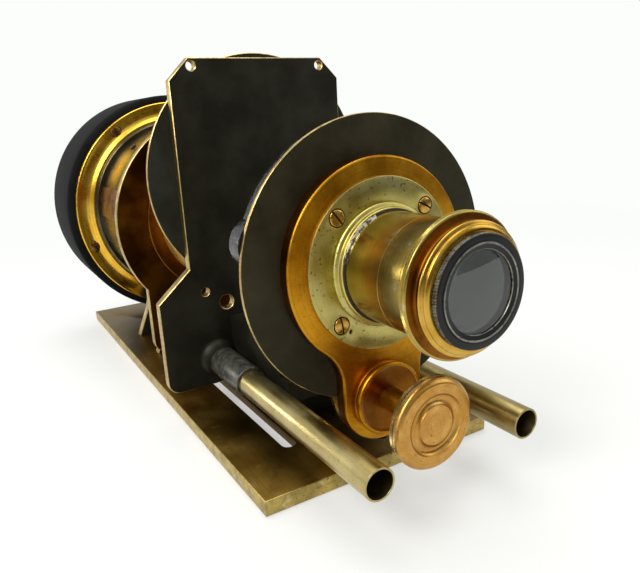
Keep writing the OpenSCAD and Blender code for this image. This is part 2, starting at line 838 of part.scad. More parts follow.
module front_lens() {
    r = ring_d / 2;
    color("#6f7774", 0.6) on_axis(mount_front - cell_l) rotate_extrude() polygon(concat(
        bulge_points(lens_clear_d / 2 - 0.1, lens_bulge, ring_t, -1),
        [[r, ring_t], [r, cell_seat], [0, cell_seat]]
    ));
}

module condenser_outline() {
    w = condenser_foot_w / 2;
    r = foot_corner_r;
    bottom = base_t + condenser_gap;
    translate([0, axis_h]) circle(d = condenser_d);
    polygon([
        [w - r, bottom], [w, bottom + r], [w, axis_h], [-w, axis_h], [-w, bottom + r],
        [r - w, bottom]
    ]);
    for (s = [-1, 1]) translate([s * (w - r), bottom + r]) circle(r);
}

module condenser_plate() {
    color("#a8610f") upright(condenser_y, condenser_t) difference() {
        condenser_outline();
        translate([0, axis_h]) circle(d = field_d + 2 * run_gap);
    }
}

module field_flange() {
    color("#a8610f") on_axis(condenser_y - field_flange_t)
        tube(field_d / 2 + field_flange_w, field_d / 2 + run_gap, field_flange_t);
}

module field_tube() {
    color("#c28a22") on_axis(condenser_y - field_reach)
        tube(field_d / 2, field_d / 2 - tube_wall, field_l);
}

module field_stop() {
    r = field_d / 2 - tube_wall - seat_gap;
    color("#26261f") on_axis(condenser_y - field_reach + field_lens_inset) tube(r, r - stop_w, stop_t);
}

module field_lens() {
    r = field_d / 2 - tube_wall - seat_gap;
    front = condenser_y - field_reach + field_lens_inset + stop_t;
    back = bulge_points(r - stop_w, field_bulge, field_edge_t, 1);
    color("#9fb3ad", 0.5) on_axis(front) rotate_extrude() polygon(concat(
        bulge_points(r - stop_w, field_bulge, 0, -1),
        [[r, 0], [r, field_edge_t]],
        [for (i = [len(back) - 1 : -1 : 0]) back[i]]
    ));
}

module at_set_screw() {
    translate([0, condenser_back + set_screw_y, axis_h]) rotate([0, -38.7, 0])
        translate([0, 0, rear_d / 2 - tube_wall]) children();
}

module rear_barrel() {
    color("#85734a") difference() {
        on_axis(condenser_back) tube(rear_d / 2, rear_d / 2 - tube_wall, rear_l);
        at_set_screw() translate([0, 0, -1]) cylinder(d = set_screw_d + 2 * seat_gap, h = 6);
    }
}

module barrel_set_screw() {
    color("#8a6a30") at_set_screw() translate([0, 0, 0.2]) cylinder(d = set_screw_d, h = tube_wall + 0.9);
}

// Curved patch on the left of the rear barrel
module barrel_tab() {
    r = rear_d / 2 + seat_gap;
    color("#b06a3c") intersection() {
        on_axis(condenser_back + tab_y) tube(r + tab_t, r, rear_l - rear_collar_l - tab_y - 0.5);
        upright(condenser_back, rear_l) translate([0, axis_h])
            polygon([[0, 0], [-1.3 * r, 0.03 * r], [-1.3 * r, 0.47 * r]]);
    }
}

module at_rear_screws() {
    on_axis(drum_front - rear_flange_t) for (i = [0 : rear_screw_n - 1])
        rotate(-90 - 36 + 360 * i / rear_screw_n) translate([rear_screw_r, 0, 0])
            rotate(20) children();
}

// Dished flange with the collar round the rear barrel
module rear_flange() {
    r = rear_flange_d / 2;
    c = rear_collar_d / 2;
    t = rear_flange_t;
    l = rear_collar_l;
    bore = rear_d / 2 + seat_gap;
    color("#c79a2a") difference() {
        on_axis(drum_front - l) rotate_extrude() polygon([
            [bore, 0], [c - 0.6, 0], [c, 0.6], [c, l - t - 2], [c + 1.2, l - t - 2.4],
            [c + 2.6, l - t - 1.8], [c + rear_dish_w, l - t + 0.4], [r - 3, l - t + 0.4],
            [r - 1, l - t], [r - 0.3, l - t], [r, l - t + 0.3], [r, l], [bore, l]
        ]);
        at_rear_screws() translate([0, 0, -2]) cylinder(d = screw_head_d + 1, h = 2 + 0.6);
        at_rear_screws() small_screw_hole(rear_flange_t + screw_shank_l);
    }
}

module rear_flange_screws() {
    color("#8a5a20") at_rear_screws() translate([0, 0, 0.6])
        slotted_screw(screw_head_d + 0.6, 1.6, screw_d, rear_flange_t + 3);
}

module rear_drum() {
    r = drum_d / 2;
    color("#202022") difference() {
        on_axis(drum_front) rotate_extrude() polygon([
            [rear_d / 2 - tube_wall, 0], [r - 2.4, 0], [r - 0.6, 1.2], [r, 3.2],
            [r, drum_l - 0.8], [r - 0.8, drum_l], [socket_d / 2, drum_l],
            [socket_d / 2, drum_front_t], [rear_d / 2 - tube_wall, drum_front_t]
        ]);
        at_rear_screws() small_screw_hole(rear_flange_t + screw_shank_l);
    }
}

module condenser_lens() {
    r = rear_d / 2 - tube_wall - seat_gap;
    color("#9fb3ad", 0.5) on_axis(condenser_y + condenser_t + condenser_lens_y) rotate_extrude()
        polygon(concat(
            bulge_points(r - stop_w, condenser_bulge, 0, -1),
            [[r, 0], [r, condenser_edge_t], [0, condenser_edge_t]]
        ));
}

module lens_stop(y) {
    r = rear_d / 2 - tube_wall - seat_gap;
    color("#26261f") on_axis(y) tube(r, r - stop_w, stop_t);
}

module lens_stop_front() {
    lens_stop(condenser_back + condenser_lens_y - stop_t);
}

module lens_stop_back() {
    lens_stop(condenser_back + condenser_lens_y + condenser_edge_t);
}

// Flared leg with a saddle for the rear barrel
module leg(y) {
    foot = leg_foot_w / 2;
    waist = leg_waist_w / 2;
    color("#2b2a22") upright(y, leg_t) difference() {
        polygon([
            [-foot, base_t], [foot, base_t], [waist + 2.8, base_t + leg_flare_h],
            [waist, base_t + leg_waist_h], [waist - 1, axis_h - rear_d / 4],
            [1 - waist, axis_h - rear_d / 4], [-waist, base_t + leg_waist_h],
            [-waist - 2.8, base_t + leg_flare_h]
        ]);
        translate([0, axis_h]) circle(r = rear_d / 2 + seat_gap);
    }
}

module front_leg() {
    leg(leg_front);
}

module rear_leg() {
    leg(leg_front + leg_spacing);
}

module saddle_bar() {
    y = leg_front + leg_t;
    color("#85734a") difference() {
        translate([-saddle_w / 2, y, base_t]) cube([saddle_w, leg_spacing - leg_t, saddle_t]);
        for (s = [-1, 1]) translate([s * slot_x, stud_y, base_t - eps])
            cylinder(d = stud_d + 2 * seat_gap, h = saddle_t + 2 * eps);
    }
}

// Stud with a square head that runs in the rebate under the slot
module clamp_stud(side) {
    w = rebate_w - 1;
    top = saddle_top + stud_rise;
    color("#6d6a50") translate([side * slot_x, stud_y, 0]) {
        translate([-w / 2, -w / 2, 0.6]) cube([w, w, rebate_d - 0.6]);
        translate([0, 0, rebate_d - 1]) cylinder(d = stud_d, h = top - rebate_d + 1);
    }
}

module clamp_stud_left() {
    clamp_stud(-1);
}

module clamp_stud_right() {
    clamp_stud(1);
}

module clamp_nut(side) {
    r = nut_d / 2;
    bore = stud_d / 2 + run_gap;
    color("#b8903a") translate([side * slot_x, stud_y, saddle_top]) rotate_extrude() polygon([
        [bore, 0], [r - 2, 0], [r - 2, 1.4], [r, 1.8], [r, nut_h - 1.4], [r - 0.6, nut_h - 0.8],
        [r - 2.6, nut_h], [bore, nut_h]
    ]);
}

module clamp_nut_left() {
    clamp_nut(-1);
}

module clamp_nut_right() {
    clamp_nut(1);
}

base_plate();
base_screws();
guide_block();
guide_cap();
guide_cap_screws();
focus_nut();
stage_plate();
stage_screws();
sleeve_left();
sleeve_right();
disc_pivot();
revolving_disc();
disc_hub();
rod_left();
rod_right();
front_disc();
disc_backing();
pear_plate();
focus_bar();
knob_boss();
lobe_screw();
mount_flange();
flange_screws();
barrel_collar();
barrel();
objective();
objective_lens();
lens_mount();
lens_cell();
cell_ring();
front_lens();
focus_knob();
condenser_plate();
field_flange();
field_tube();
field_lens();
field_stop();
rear_barrel();
barrel_tab();
barrel_set_screw();
rear_flange();
rear_flange_screws();
rear_drum();
condenser_lens();
lens_stop_front();
lens_stop_back();
front_leg();
rear_leg();
saddle_bar();
clamp_stud_left();
clamp_stud_right();
clamp_nut_left();
clamp_nut_right();
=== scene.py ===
import math

import bmesh
import bpy
from bmesh.types import BMEdge, BMFace, BMVert
from mathutils import Matrix, Vector


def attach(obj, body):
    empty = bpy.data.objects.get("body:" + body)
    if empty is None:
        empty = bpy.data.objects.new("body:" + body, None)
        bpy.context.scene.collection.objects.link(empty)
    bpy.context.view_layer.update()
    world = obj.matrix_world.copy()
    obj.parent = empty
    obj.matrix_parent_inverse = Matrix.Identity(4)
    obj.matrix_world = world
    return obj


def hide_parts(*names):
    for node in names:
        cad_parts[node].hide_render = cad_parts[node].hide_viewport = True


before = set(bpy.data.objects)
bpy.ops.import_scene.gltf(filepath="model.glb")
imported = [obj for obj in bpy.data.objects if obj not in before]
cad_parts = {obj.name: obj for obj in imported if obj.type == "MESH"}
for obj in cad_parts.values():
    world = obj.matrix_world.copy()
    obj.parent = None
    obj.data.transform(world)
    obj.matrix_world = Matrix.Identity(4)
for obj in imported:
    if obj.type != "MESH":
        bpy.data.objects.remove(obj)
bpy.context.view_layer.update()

scene = bpy.context.scene

# Sizes are millimetres until a mesh is finished. The front faces -Y, as in the CAD.
mm = 0.001
axisHeight = 90.7  # the optical axis
focusHeight = 34.5  # the focusing bar and knob
rodHeight = 29.05
pivotHeight = 119.9  # the revolving disc
mergeGap = 0.0005  # corners nearer than this are one corner
hair = 0.0001
sharpAngle = 32  # degrees between faces that meet in a sharp edge
sides = ((-1, "left"), (1, "right"))


def feed(material, socket, value):
    # A socket given as the value is linked, any other value is set.
    if isinstance(value, bpy.types.NodeSocket):
        material.node_tree.links.new(value, socket)
    else:
        socket.default_value = value


def addNode(material, kind, inputs, **settings):
    node = material.node_tree.nodes.new("ShaderNode" + kind)
    for name, value in settings.items():
        setattr(node, name, value)
    for name, value in inputs.items():
        feed(material, node.inputs[name], value)
    return node


def setShader(material, values):
    for name, value in values.items():
        feed(material, material.node_tree.nodes["Principled BSDF"].inputs[name], value)


def mixColour(material, factor, first, second):
    first, second = (c if isinstance(c, bpy.types.NodeSocket) else (*c, 1) for c in (first, second))
    return addNode(material, "Mix", {0: factor, 6: first, 7: second}, data_type="RGBA").outputs[2]


def ranged(material, value, low, high, toLow, toHigh):
    return addNode(material, "MapRange", {
        "Value": value, "From Min": low, "From Max": high, "To Min": toLow, "To Max": toHigh}).outputs["Result"]


def combined(material, operation, first, second):
    return addNode(material, "Math", {0: first, 1: second}, operation=operation).outputs[0]


def stretched(material, vector, factors):
    return addNode(material, "VectorMath", {0: vector, 1: factors}, operation="MULTIPLY").outputs[0]


def distance(material, vector):
    return addNode(material, "VectorMath", {0: vector}, operation="LENGTH").outputs["Value"]


def noise(material, vector, scale, detail, roughness=0.5):
    return addNode(material, "TexNoise", {
        "Vector": vector, "Scale": scale, "Detail": detail, "Roughness": roughness}).outputs["Fac"]


def newFinish(name):
    material = bpy.data.materials.new(name)
    material.use_nodes = True
    return material, addNode(material, "TexCoord", {}).outputs["Object"]


def metalFinish(name, tone, tone2, centre=(0, axisHeight), grain=None, rough=(0.25, 0.4), metal=1, specular=0.5,
                glint=(1, 1, 1), brushed=0, coat=0, coatRough=0.15, cloudScale=0.06, cloudEdge=(0.38, 0.62),
                lineTone=None, lineAmount=0.5, lineScale=1.6, lineEdge=(0.48, 0.68), bump=0.3, bumpDepth=0.03,
                wearTone=None, wearScale=0.35, wearEdge=(0.62, 0.7), wearAmount=0.6,
                speckTone=None, speckScale=0.9, speckEdge=(0.7, 0.74), speckAmount=0.7):
    # Aged metal: two clouded tones, fine lines round or along the axis, worn patches, specks.
    material, place = newFinish(name)
    inMm = addNode(material, "Mapping", {
        "Vector": place, "Location": (-centre[0], 0, -centre[1]), "Scale": (1 / mm, 1 / mm, 1 / mm)}).outputs[0]
    lineSpace = inMm
    if grain == "turned":
        radius = distance(material, stretched(material, inMm, (1, 0, 1)))
        along = addNode(material, "SeparateXYZ", {0: inMm}).outputs["Y"]
        lineSpace = addNode(material, "CombineXYZ", {"X": radius, "Y": along}).outputs[0]
    elif grain == "along":
        lineSpace = stretched(material, inMm, (1, 0.02, 1))
    cloud = noise(material, inMm, cloudScale, 4, 0.6)
    lines = noise(material, lineSpace, lineScale, 3, 0.65)

    def laidOver(under, over, pattern, edge, amount):
        return mixColour(material, ranged(material, pattern, *edge, 0, amount), under, over)

    colour = laidOver(tone, tone2, cloud, cloudEdge, 1)
    if lineTone:
        colour = laidOver(colour, lineTone, lines, lineEdge, lineAmount)
    if wearTone:
        colour = laidOver(colour, wearTone, noise(material, inMm, wearScale, 6, 0.7), wearEdge, wearAmount)
    if speckTone:
        colour = laidOver(colour, speckTone, noise(material, inMm, speckScale, 2), speckEdge, speckAmount)
    relief = addNode(material, "Bump", {"Height": lines, "Strength": bump, "Distance": bumpDepth * mm})
    setShader(material, {
        "Base Color": colour, "Roughness": ranged(material, cloud, 0.3, 0.7, *rough), "Metallic": metal,
        "Specular IOR Level": specular, "Specular Tint": (*glint, 1), "Normal": relief.outputs["Normal"]})
    if brushed:
        aroundAxis = addNode(material, "Tangent", {}, direction_type="RADIAL", axis="Y").outputs[0]
        setShader(material, {"Anisotropic": brushed, "Tangent": aroundAxis})
    if coat:
        setShader(material, {"Coat Weight": coat, "Coat Roughness": coatRough})
    return material


def glassFinish(name, tint, smear=0.93):
    # Clear glass with a few faint smears.
    material, place = newFinish(name)
    haze = ranged(material, noise(material, place, 45, 2), 0.55, 0.7, 0, 1)
    setShader(material, {
        "Base Color": mixColour(material, haze, tint, tuple(value * smear for value in tint)),
        "Transmission Weight": 1, "IOR": 1.56, "Roughness": 0})
    return material


blackened = dict(tone=(0.01, 0.0098, 0.0058), tone2=(0.021, 0.02, 0.0128), metal=0.25, rough=(0.4, 0.54),
    specular=0.25, glint=(1, 0.95, 0.8), cloudScale=0.045, cloudEdge=(0.4, 0.66), bump=0.12, lineScale=2.5,
    wearTone=(0.1, 0.085, 0.05), wearScale=0.9, wearEdge=(0.7, 0.78), wearAmount=0.35)
drawnBrass = dict(grain="along", tone=(0.4, 0.31, 0.115), tone2=(0.49, 0.395, 0.17), rough=(0.28, 0.38),
    cloudScale=0.05, lineTone=(0.3, 0.22, 0.075), lineAmount=0.4, lineScale=2.2, coat=0.35, coatRough=0.08,
    speckTone=(0.1, 0.07, 0.03), speckScale=1.1, speckEdge=(0.66, 0.72), centre=(0, rodHeight))
looks = {
    "blackPlate": blackened,
    "blackDisc": dict(blackened, grain="turned", tone=(0.019, 0.0155, 0.0072), tone2=(0.04, 0.033, 0.016),
        rough=(0.4, 0.5), cloudScale=0.06, cloudEdge=(0.36, 0.72)),
    "blackWheel": dict(blackened, grain="turned", tone=(0.018, 0.0195, 0.015), tone2=(0.031, 0.032, 0.025),
        centre=(0, pivotHeight)),
    "blackCast": dict(tone=(0.004, 0.004, 0.0042), tone2=(0.011, 0.011, 0.0115), metal=0, specular=0.34,
        rough=(0.14, 0.22), bump=1, lineScale=0.28, bumpDepth=0.5, wearTone=(0.1, 0.1, 0.105), wearScale=0.6,
        wearEdge=(0.7, 0.77), wearAmount=0.3),
    "blackLacquer": dict(grain="turned", tone=(0.0062, 0.0063, 0.006), tone2=(0.0092, 0.0094, 0.0092), metal=0,
        specular=0.03, rough=(0.6, 0.7), bump=0.1, wearTone=(0.05, 0.05, 0.045), wearScale=0.5, wearEdge=(0.7, 0.76),
        wearAmount=0.4),
    "cellBlack": dict(grain="turned", tone=(0.009, 0.009, 0.0092), tone2=(0.017, 0.017, 0.0172), metal=0.25,
        specular=0.3, rough=(0.32, 0.44), bump=0.15, wearTone=(0.24, 0.23, 0.19), wearScale=0.7,
        wearEdge=(0.68, 0.74), wearAmount=0.5),
    "wornSleeve": dict(tone=(0.045, 0.045, 0.036), tone2=(0.17, 0.165, 0.135), metal=0.6, rough=(0.28, 0.4),
        cloudScale=0.3, cloudEdge=(0.36, 0.72), bump=0.2, speckTone=(0.004, 0.004, 0.0035),
        wearTone=(0.24, 0.23, 0.19), wearScale=0.5, wearEdge=(0.64, 0.72), wearAmount=0.5, centre=(34.9, rodHeight)),
    "wornEdge": dict(tone=(0.56, 0.41, 0.16), tone2=(0.34, 0.235, 0.09), rough=(0.3, 0.42), cloudScale=0.2, bump=0.1,
        speckTone=(0.05, 0.035, 0.02), speckEdge=(0.6, 0.7), speckAmount=0.5),
    "baseBrass": dict(grain="along", tone=(0.135, 0.075, 0.01), tone2=(0.2, 0.122, 0.024), rough=(0.36, 0.5),
        cloudScale=0.045, lineTone=(0.085, 0.046, 0.009), lineAmount=0.4, bump=0.15, speckTone=(0.03, 0.018, 0.007),
        speckEdge=(0.68, 0.76), wearTone=(0.26, 0.19, 0.075), wearScale=0.12, wearEdge=(0.56, 0.7), wearAmount=0.55),
    "baseEdge": dict(grain="along", tone=(0.5, 0.37, 0.105), tone2=(0.33, 0.245, 0.075), rough=(0.32, 0.46),
        cloudScale=0.14, bump=0.2, wearTone=(0.62, 0.53, 0.32), wearScale=0.3, wearEdge=(0.55, 0.66), wearAmount=0.7,
        speckTone=(0.07, 0.045, 0.018), speckEdge=(0.62, 0.7)),
    "orangeLacquer": dict(grain="turned", tone=(0.42, 0.17, 0.006), tone2=(0.6, 0.285, 0.016), rough=(0.3, 0.42),
        cloudScale=0.07, lineTone=(0.22, 0.078, 0.006), lineAmount=0.4, lineScale=1.2, bump=0.15,
        speckTone=(0.13, 0.045, 0.006), speckScale=1.3, speckEdge=(0.64, 0.7)),
    "darkOrange": dict(grain="turned", tone=(0.125, 0.04, 0.0034), tone2=(0.25, 0.092, 0.008), rough=(0.28, 0.4),
        cloudScale=0.05, bump=0.15, speckTone=(0.06, 0.02, 0.005), speckEdge=(0.66, 0.74)),
    "brightLacquer": dict(grain="turned", brushed=0.5, tone=(0.47, 0.26, 0.03), tone2=(0.62, 0.39, 0.075),
        rough=(0.18, 0.28), cloudScale=0.12, lineTone=(0.4, 0.18, 0.02), lineAmount=0.4, bump=0.1,
        speckTone=(0.12, 0.05, 0.01), speckScale=1.2, speckEdge=(0.68, 0.74)),
    "goldLacquer": dict(grain="turned", tone=(0.72, 0.385, 0.028), tone2=(0.9, 0.59, 0.085), rough=(0.22, 0.32),
        cloudScale=0.05, cloudEdge=(0.36, 0.64), lineTone=(0.44, 0.19, 0.014), lineAmount=0.4, lineScale=1.1,
        bump=0.12, speckTone=(0.22, 0.1, 0.02), speckScale=1, speckEdge=(0.68, 0.74)),
    "rawBrass": dict(grain="turned", brushed=0.6, tone=(0.44, 0.365, 0.095), tone2=(0.6, 0.53, 0.19),
        rough=(0.3, 0.4), cloudScale=0.1, cloudEdge=(0.36, 0.64), lineTone=(0.33, 0.25, 0.06),
        lineScale=2.2, bump=0.35, wearTone=(0.26, 0.24, 0.19), wearScale=0.1, wearEdge=(0.58, 0.68), wearAmount=0.5,
        speckTone=(0.09, 0.065, 0.02), speckScale=0.75, speckEdge=(0.65, 0.69), speckAmount=0.85),
    "barrelBrass": dict(grain="turned", brushed=0.4, tone=(0.36, 0.255, 0.05), tone2=(0.47, 0.365, 0.105),
        rough=(0.2, 0.28), cloudScale=0.07, cloudEdge=(0.32, 0.7), lineTone=(0.25, 0.155, 0.028), lineAmount=0.45,
        lineScale=1.8, bump=0.35, wearTone=(0.6, 0.56, 0.38), wearScale=0.1, wearEdge=(0.58, 0.68), wearAmount=0.65,
        speckTone=(0.12, 0.08, 0.03), speckEdge=(0.68, 0.74)),
    "steelBrass": dict(grain="turned", tone=(0.105, 0.092, 0.052), tone2=(0.19, 0.165, 0.095), rough=(0.18, 0.26),
        cloudScale=0.04, cloudEdge=(0.34, 0.68), lineTone=(0.07, 0.06, 0.035), bump=0.25,
        wearTone=(0.36, 0.29, 0.14), wearScale=0.08, wearEdge=(0.52, 0.74), wearAmount=0.5,
        speckTone=(0.04, 0.03, 0.02), speckScale=0.6),
    "fieldGold": dict(grain="turned", tone=(0.66, 0.39, 0.065), tone2=(0.76, 0.5, 0.12), rough=(0.42, 0.54),
        cloudScale=0.08, bump=0.12, speckTone=(0.22, 0.1, 0.02), speckEdge=(0.68, 0.74)),
    "oliveBrass": dict(grain="turned", tone=(0.19, 0.145, 0.06), tone2=(0.32, 0.26, 0.13), rough=(0.28, 0.42),
        speckTone=(0.08, 0.06, 0.03), speckEdge=(0.66, 0.74)),
    "rodBrass": drawnBrass,
    # A darker copy of the drawn brass for the right rod: painted shade.
    "rodDark": dict(drawnBrass, tone=(0.27, 0.205, 0.072), tone2=(0.36, 0.285, 0.115),
        lineTone=(0.2, 0.14, 0.045), coat=0.2, speckTone=(0.07, 0.05, 0.02)),
    "copper": dict(grain="turned", brushed=0.7, tone=(0.47, 0.235, 0.047), tone2=(0.6, 0.335, 0.085),
        rough=(0.26, 0.36), cloudScale=0.1, lineTone=(0.36, 0.16, 0.028), lineAmount=0.4, lineScale=1.4, bump=0.12,
        wearTone=(0.66, 0.46, 0.18), wearScale=0.2, wearEdge=(0.56, 0.7), wearAmount=0.4,
        speckTone=(0.1, 0.045, 0.015), speckScale=1.1, speckEdge=(0.66, 0.71), centre=(0, focusHeight)),
    "knobEdge": dict(tone=(0.42, 0.3, 0.12), tone2=(0.56, 0.4, 0.17), rough=(0.24, 0.36), cloudScale=0.2,
        speckTone=(0.05, 0.035, 0.02), speckScale=1.4, speckEdge=(0.58, 0.66), centre=(0, focusHeight)),
    "copperPatch": dict(tone=(0.19, 0.08, 0.038), tone2=(0.33, 0.155, 0.085), rough=(0.2, 0.34), cloudScale=0.15,
        wearTone=(0.66, 0.55, 0.42), wearScale=0.45, wearEdge=(0.62, 0.66), lineScale=0.6,
        speckTone=(0.08, 0.04, 0.025)),
    "screwGold": dict(tone=(0.46, 0.24, 0.042), tone2=(0.6, 0.37, 0.1), rough=(0.2, 0.3), cloudScale=0.5, bump=0.1,
        speckTone=(0.06, 0.035, 0.015), speckEdge=(0.64, 0.72)),
    "screwBrown": dict(tone=(0.16, 0.07, 0.014), tone2=(0.28, 0.14, 0.035), rough=(0.28, 0.42), cloudScale=0.5,
        bump=0.2, speckTone=(0.03, 0.015, 0.006)),
    "screwSteel": dict(tone=(0.2, 0.19, 0.16), tone2=(0.32, 0.3, 0.25), rough=(0.28, 0.42), cloudScale=0.4, bump=0.2,
        speckTone=(0.05, 0.04, 0.03)),
    "cellTeeth": dict(tone=(0.1, 0.1, 0.085), tone2=(0.2, 0.195, 0.16), metal=0.6, rough=(0.3, 0.42), cloudScale=0.2,
        speckTone=(0.02, 0.02, 0.018), speckEdge=(0.5, 0.6)),
    # Near-black: some dirt, and painted shade for screw slots, for the recesses under the rear flange's screws and
    # for the gap at the barrel's root.
    "paintedShadeAndDirt": dict(tone=(0.02, 0.014, 0.008), tone2=(0.045, 0.03, 0.015), metal=0.2, rough=(0.6, 0.8), specular=0.2,
        cloudScale=0.8),
    "solder": dict(tone=(0.72, 0.71, 0.68), tone2=(0.12, 0.1, 0.075), rough=(0.16, 0.35), cloudScale=0.55,
        cloudEdge=(0.46, 0.52), bump=0.9, lineScale=0.9, bumpDepth=0.25),
    "greyMetal": dict(grain="turned", tone=(0.16, 0.16, 0.14), tone2=(0.3, 0.29, 0.24), rough=(0.28, 0.4),
        cloudScale=0.2, bump=0.2, speckTone=(0.03, 0.03, 0.028), speckEdge=(0.56, 0.64)),
}
finishes = {name: metalFinish(name, **look) for name, look in looks.items()}
finishes["clearGlass"] = glassFinish("clearGlass", (0.93, 0.97, 0.95))
print("finishes", len(finishes))


def rotated(degrees, axis):
    return Matrix.Rotation(math.radians(degrees), 4, axis)


# How a flat piece or a screw head that is made facing up is turned: to the front, not at all, or to the back.
standing = rotated(90, "X")
upward = Matrix.Identity(4)
backward = rotated(-90, "X")


def newObject(name, data):
    made = bpy.data.objects.new(name, data)
    scene.collection.objects.link(made)
    return made


def newMesh(name, bm, materials):
    mesh = bpy.data.meshes.new(name)
    bm.to_mesh(mesh)
    bm.free()
    for material in materials:
        mesh.materials.append(material)
    return mesh


def onAxis(height=axisHeight, side=0):
    return Matrix.Translation((side, 0, height))


def roundAxis(degrees):
    return onAxis() @ rotated(degrees, "Y")


def around(radius, degrees, height=axisHeight):
    # Where a point on a circle round an axis lies, across and up.
    angle = math.radians(degrees)
    return radius * math.cos(angle), height + radius * math.sin(angle)


def only(kind, items):
    # The corners, edges or faces among an operator's results.
    return [item for item in items if isinstance(item, kind)]


def makePiece(bm, name, body, finishNames, turn=None, node=None):
    # Turns the mesh into place and scales it to metres. The piece stands for the CAD node of its own name, as
    # clampNut_left for clamp_nut_left, unless node is another name or empty.
    if turn:
        bmesh.ops.transform(bm, matrix=turn, verts=bm.verts[:])
    bmesh.ops.remove_doubles(bm, verts=bm.verts[:], dist=mergeGap)
    bmesh.ops.recalc_face_normals(bm, faces=bm.faces[:])
    bmesh.ops.scale(bm, vec=(mm, mm, mm), verts=bm.verts[:])
    mesh = newMesh(name, bm, [finishes[finishName] for finishName in finishNames])
    mesh.shade_smooth()
    mesh.set_sharp_from_angle(angle=math.radians(sharpAngle))
    piece = newObject(name, mesh)
    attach(piece, body)
    if node is None:
        node = "".join("_" + letter.lower() if letter.isupper() else letter for letter in name)
    if node:
        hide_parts(node)


def bevelled(bm, geom, size, affect, segments):
    return bmesh.ops.bevel(bm, geom=geom, offset=size, offset_type="OFFSET", affect=affect, segments=segments,
                           profile=0.5, material=-1)["faces"]


def spun(bm, geom, degrees, steps, centre=(0, 0, 0), axis=(0, 1, 0), merge=False):
    return bmesh.ops.spin(bm, geom=geom, cent=centre, axis=axis, dvec=(0, 0, 0), angle=math.radians(degrees),
                          steps=steps, use_merge=merge, use_normal_flip=False, use_duplicate=False)["geom_last"]


def addTurned(bm, profile, steps=128, milled=(), zones=()):
    # Profile points are (radius, along Y, rounding). Milled bands are (low, high, least radius, depth), and zones
    # of another finish are (finish, low, high, least radius, largest radius).
    old, oldFaces = set(bm.verts), set(bm.faces)
    chain = [bm.verts.new((point[0], point[1], 0)) for point in profile]
    pairs = list(zip(chain, chain[1:]))
    if profile[0][0] > 0 or profile[-1][0] > 0:
        pairs.append((chain[-1], chain[0]))
    for pair in pairs:
        bm.edges.new(pair)
    for vert, point in zip(chain, profile):
        if len(point) > 2:
            bevelled(bm, [vert], point[2], "VERTICES", 3)
    fresh = [v for v in bm.verts if v not in old]
    spun(bm, fresh + list({e for v in fresh for e in v.link_edges}), 360, steps, merge=True)
    bmesh.ops.remove_doubles(bm, verts=[v for v in bm.verts if v not in old], dist=mergeGap)
    fresh = [v for v in bm.verts if v not in old]
    for low, high, least, depth in milled:
        for vert in fresh:
            radius = math.hypot(vert.co.x, vert.co.z)
            tooth = round(math.atan2(vert.co.z, vert.co.x) / math.tau * steps)
            if tooth % 2 and radius > least and low - hair <= vert.co.y <= high + hair:
                vert.co.x *= 1 - depth / radius
                vert.co.z *= 1 - depth / radius
    for face in set(bm.faces) - oldFaces:
        centre = face.calc_center_median()
        radius = math.hypot(centre.x, centre.z)
        for index, low, high, near, far in zones:
            if low <= centre.y <= high and near <= radius <= far:
                face.material_index = index
    return bm


def turned(name, body, finishNames, profile, height=axisHeight, side=0, steps=128, milled=(), zones=(),
           node=None):
    bm = addTurned(bmesh.new(), profile, steps, milled, zones)
    makePiece(bm, name, body, finishNames, onAxis(height, side), node)


def bulge(radius, sag, y, way, count=14):
    # Points of a lens face, or of a hollow, from the middle out.
    ball = (radius * radius + sag * sag) / (2 * sag)
    across = [radius * step / count for step in range(count + 1)]
    return [(q, y + way * (math.sqrt(ball * ball - q * q) - ball + sag)) for q in across]


def addSector(section, degrees, steps):
    # A closed section swept part of the way round the axis.
    bm = bmesh.new()
    chain = [bm.verts.new((radius, y, 0)) for radius, y in section]
    edges = [bm.edges.new(pair) for pair in zip(chain, chain[1:] + chain[:1])]
    spun(bm, chain + edges + bmesh.ops.edgenet_fill(bm, edges=edges)["faces"], degrees, steps)
    return bm


def line(bm, start, *points):
    # Draws straight lines on from start and gives the last corner.
    for x, y in points:
        end = bm.verts.new((x, y, 0))
        if start:
            bm.edges.new((start, end))
        start = end
    return start


def closedLine(bm, *points):
    first = line(bm, None, points[0])
    bm.edges.new((line(bm, first, *points[1:]), first))


def arc(bm, start, centre, degrees, steps=24):
    return only(BMVert, spun(bm, [start], degrees, steps, (*centre, 0), (0, 0, 1)))[0]


def joinEnds(bm, start, end):
    bmesh.ops.remove_doubles(bm, verts=[start, end], dist=0.01)


def circle(bm, x, y, radius, steps=48):
    bmesh.ops.create_circle(bm, cap_ends=False, radius=radius, segments=steps, matrix=Matrix.Translation((x, y, 0)))


def softenCap(bm, faces, size, steps, way):
    # Rounds the rim of a flat face, or chamfers it in one step: it is inset while it rises to the full thickness.
    rim = []
    angles = [math.pi / 2 * step / steps for step in range(steps + 1)]
    for before, after in zip(angles, angles[1:]):
        rim += bmesh.ops.inset_region(
            bm, faces=faces, thickness=size * (math.cos(before) - math.cos(after)), depth=0, use_boundary=True,
            use_even_offset=True)["faces"]
        rise = way * size * (math.sin(after) - math.sin(before))
        bmesh.ops.translate(bm, vec=(0, 0, rise), verts=list({v for f in faces for v in f.verts}))
    return rim


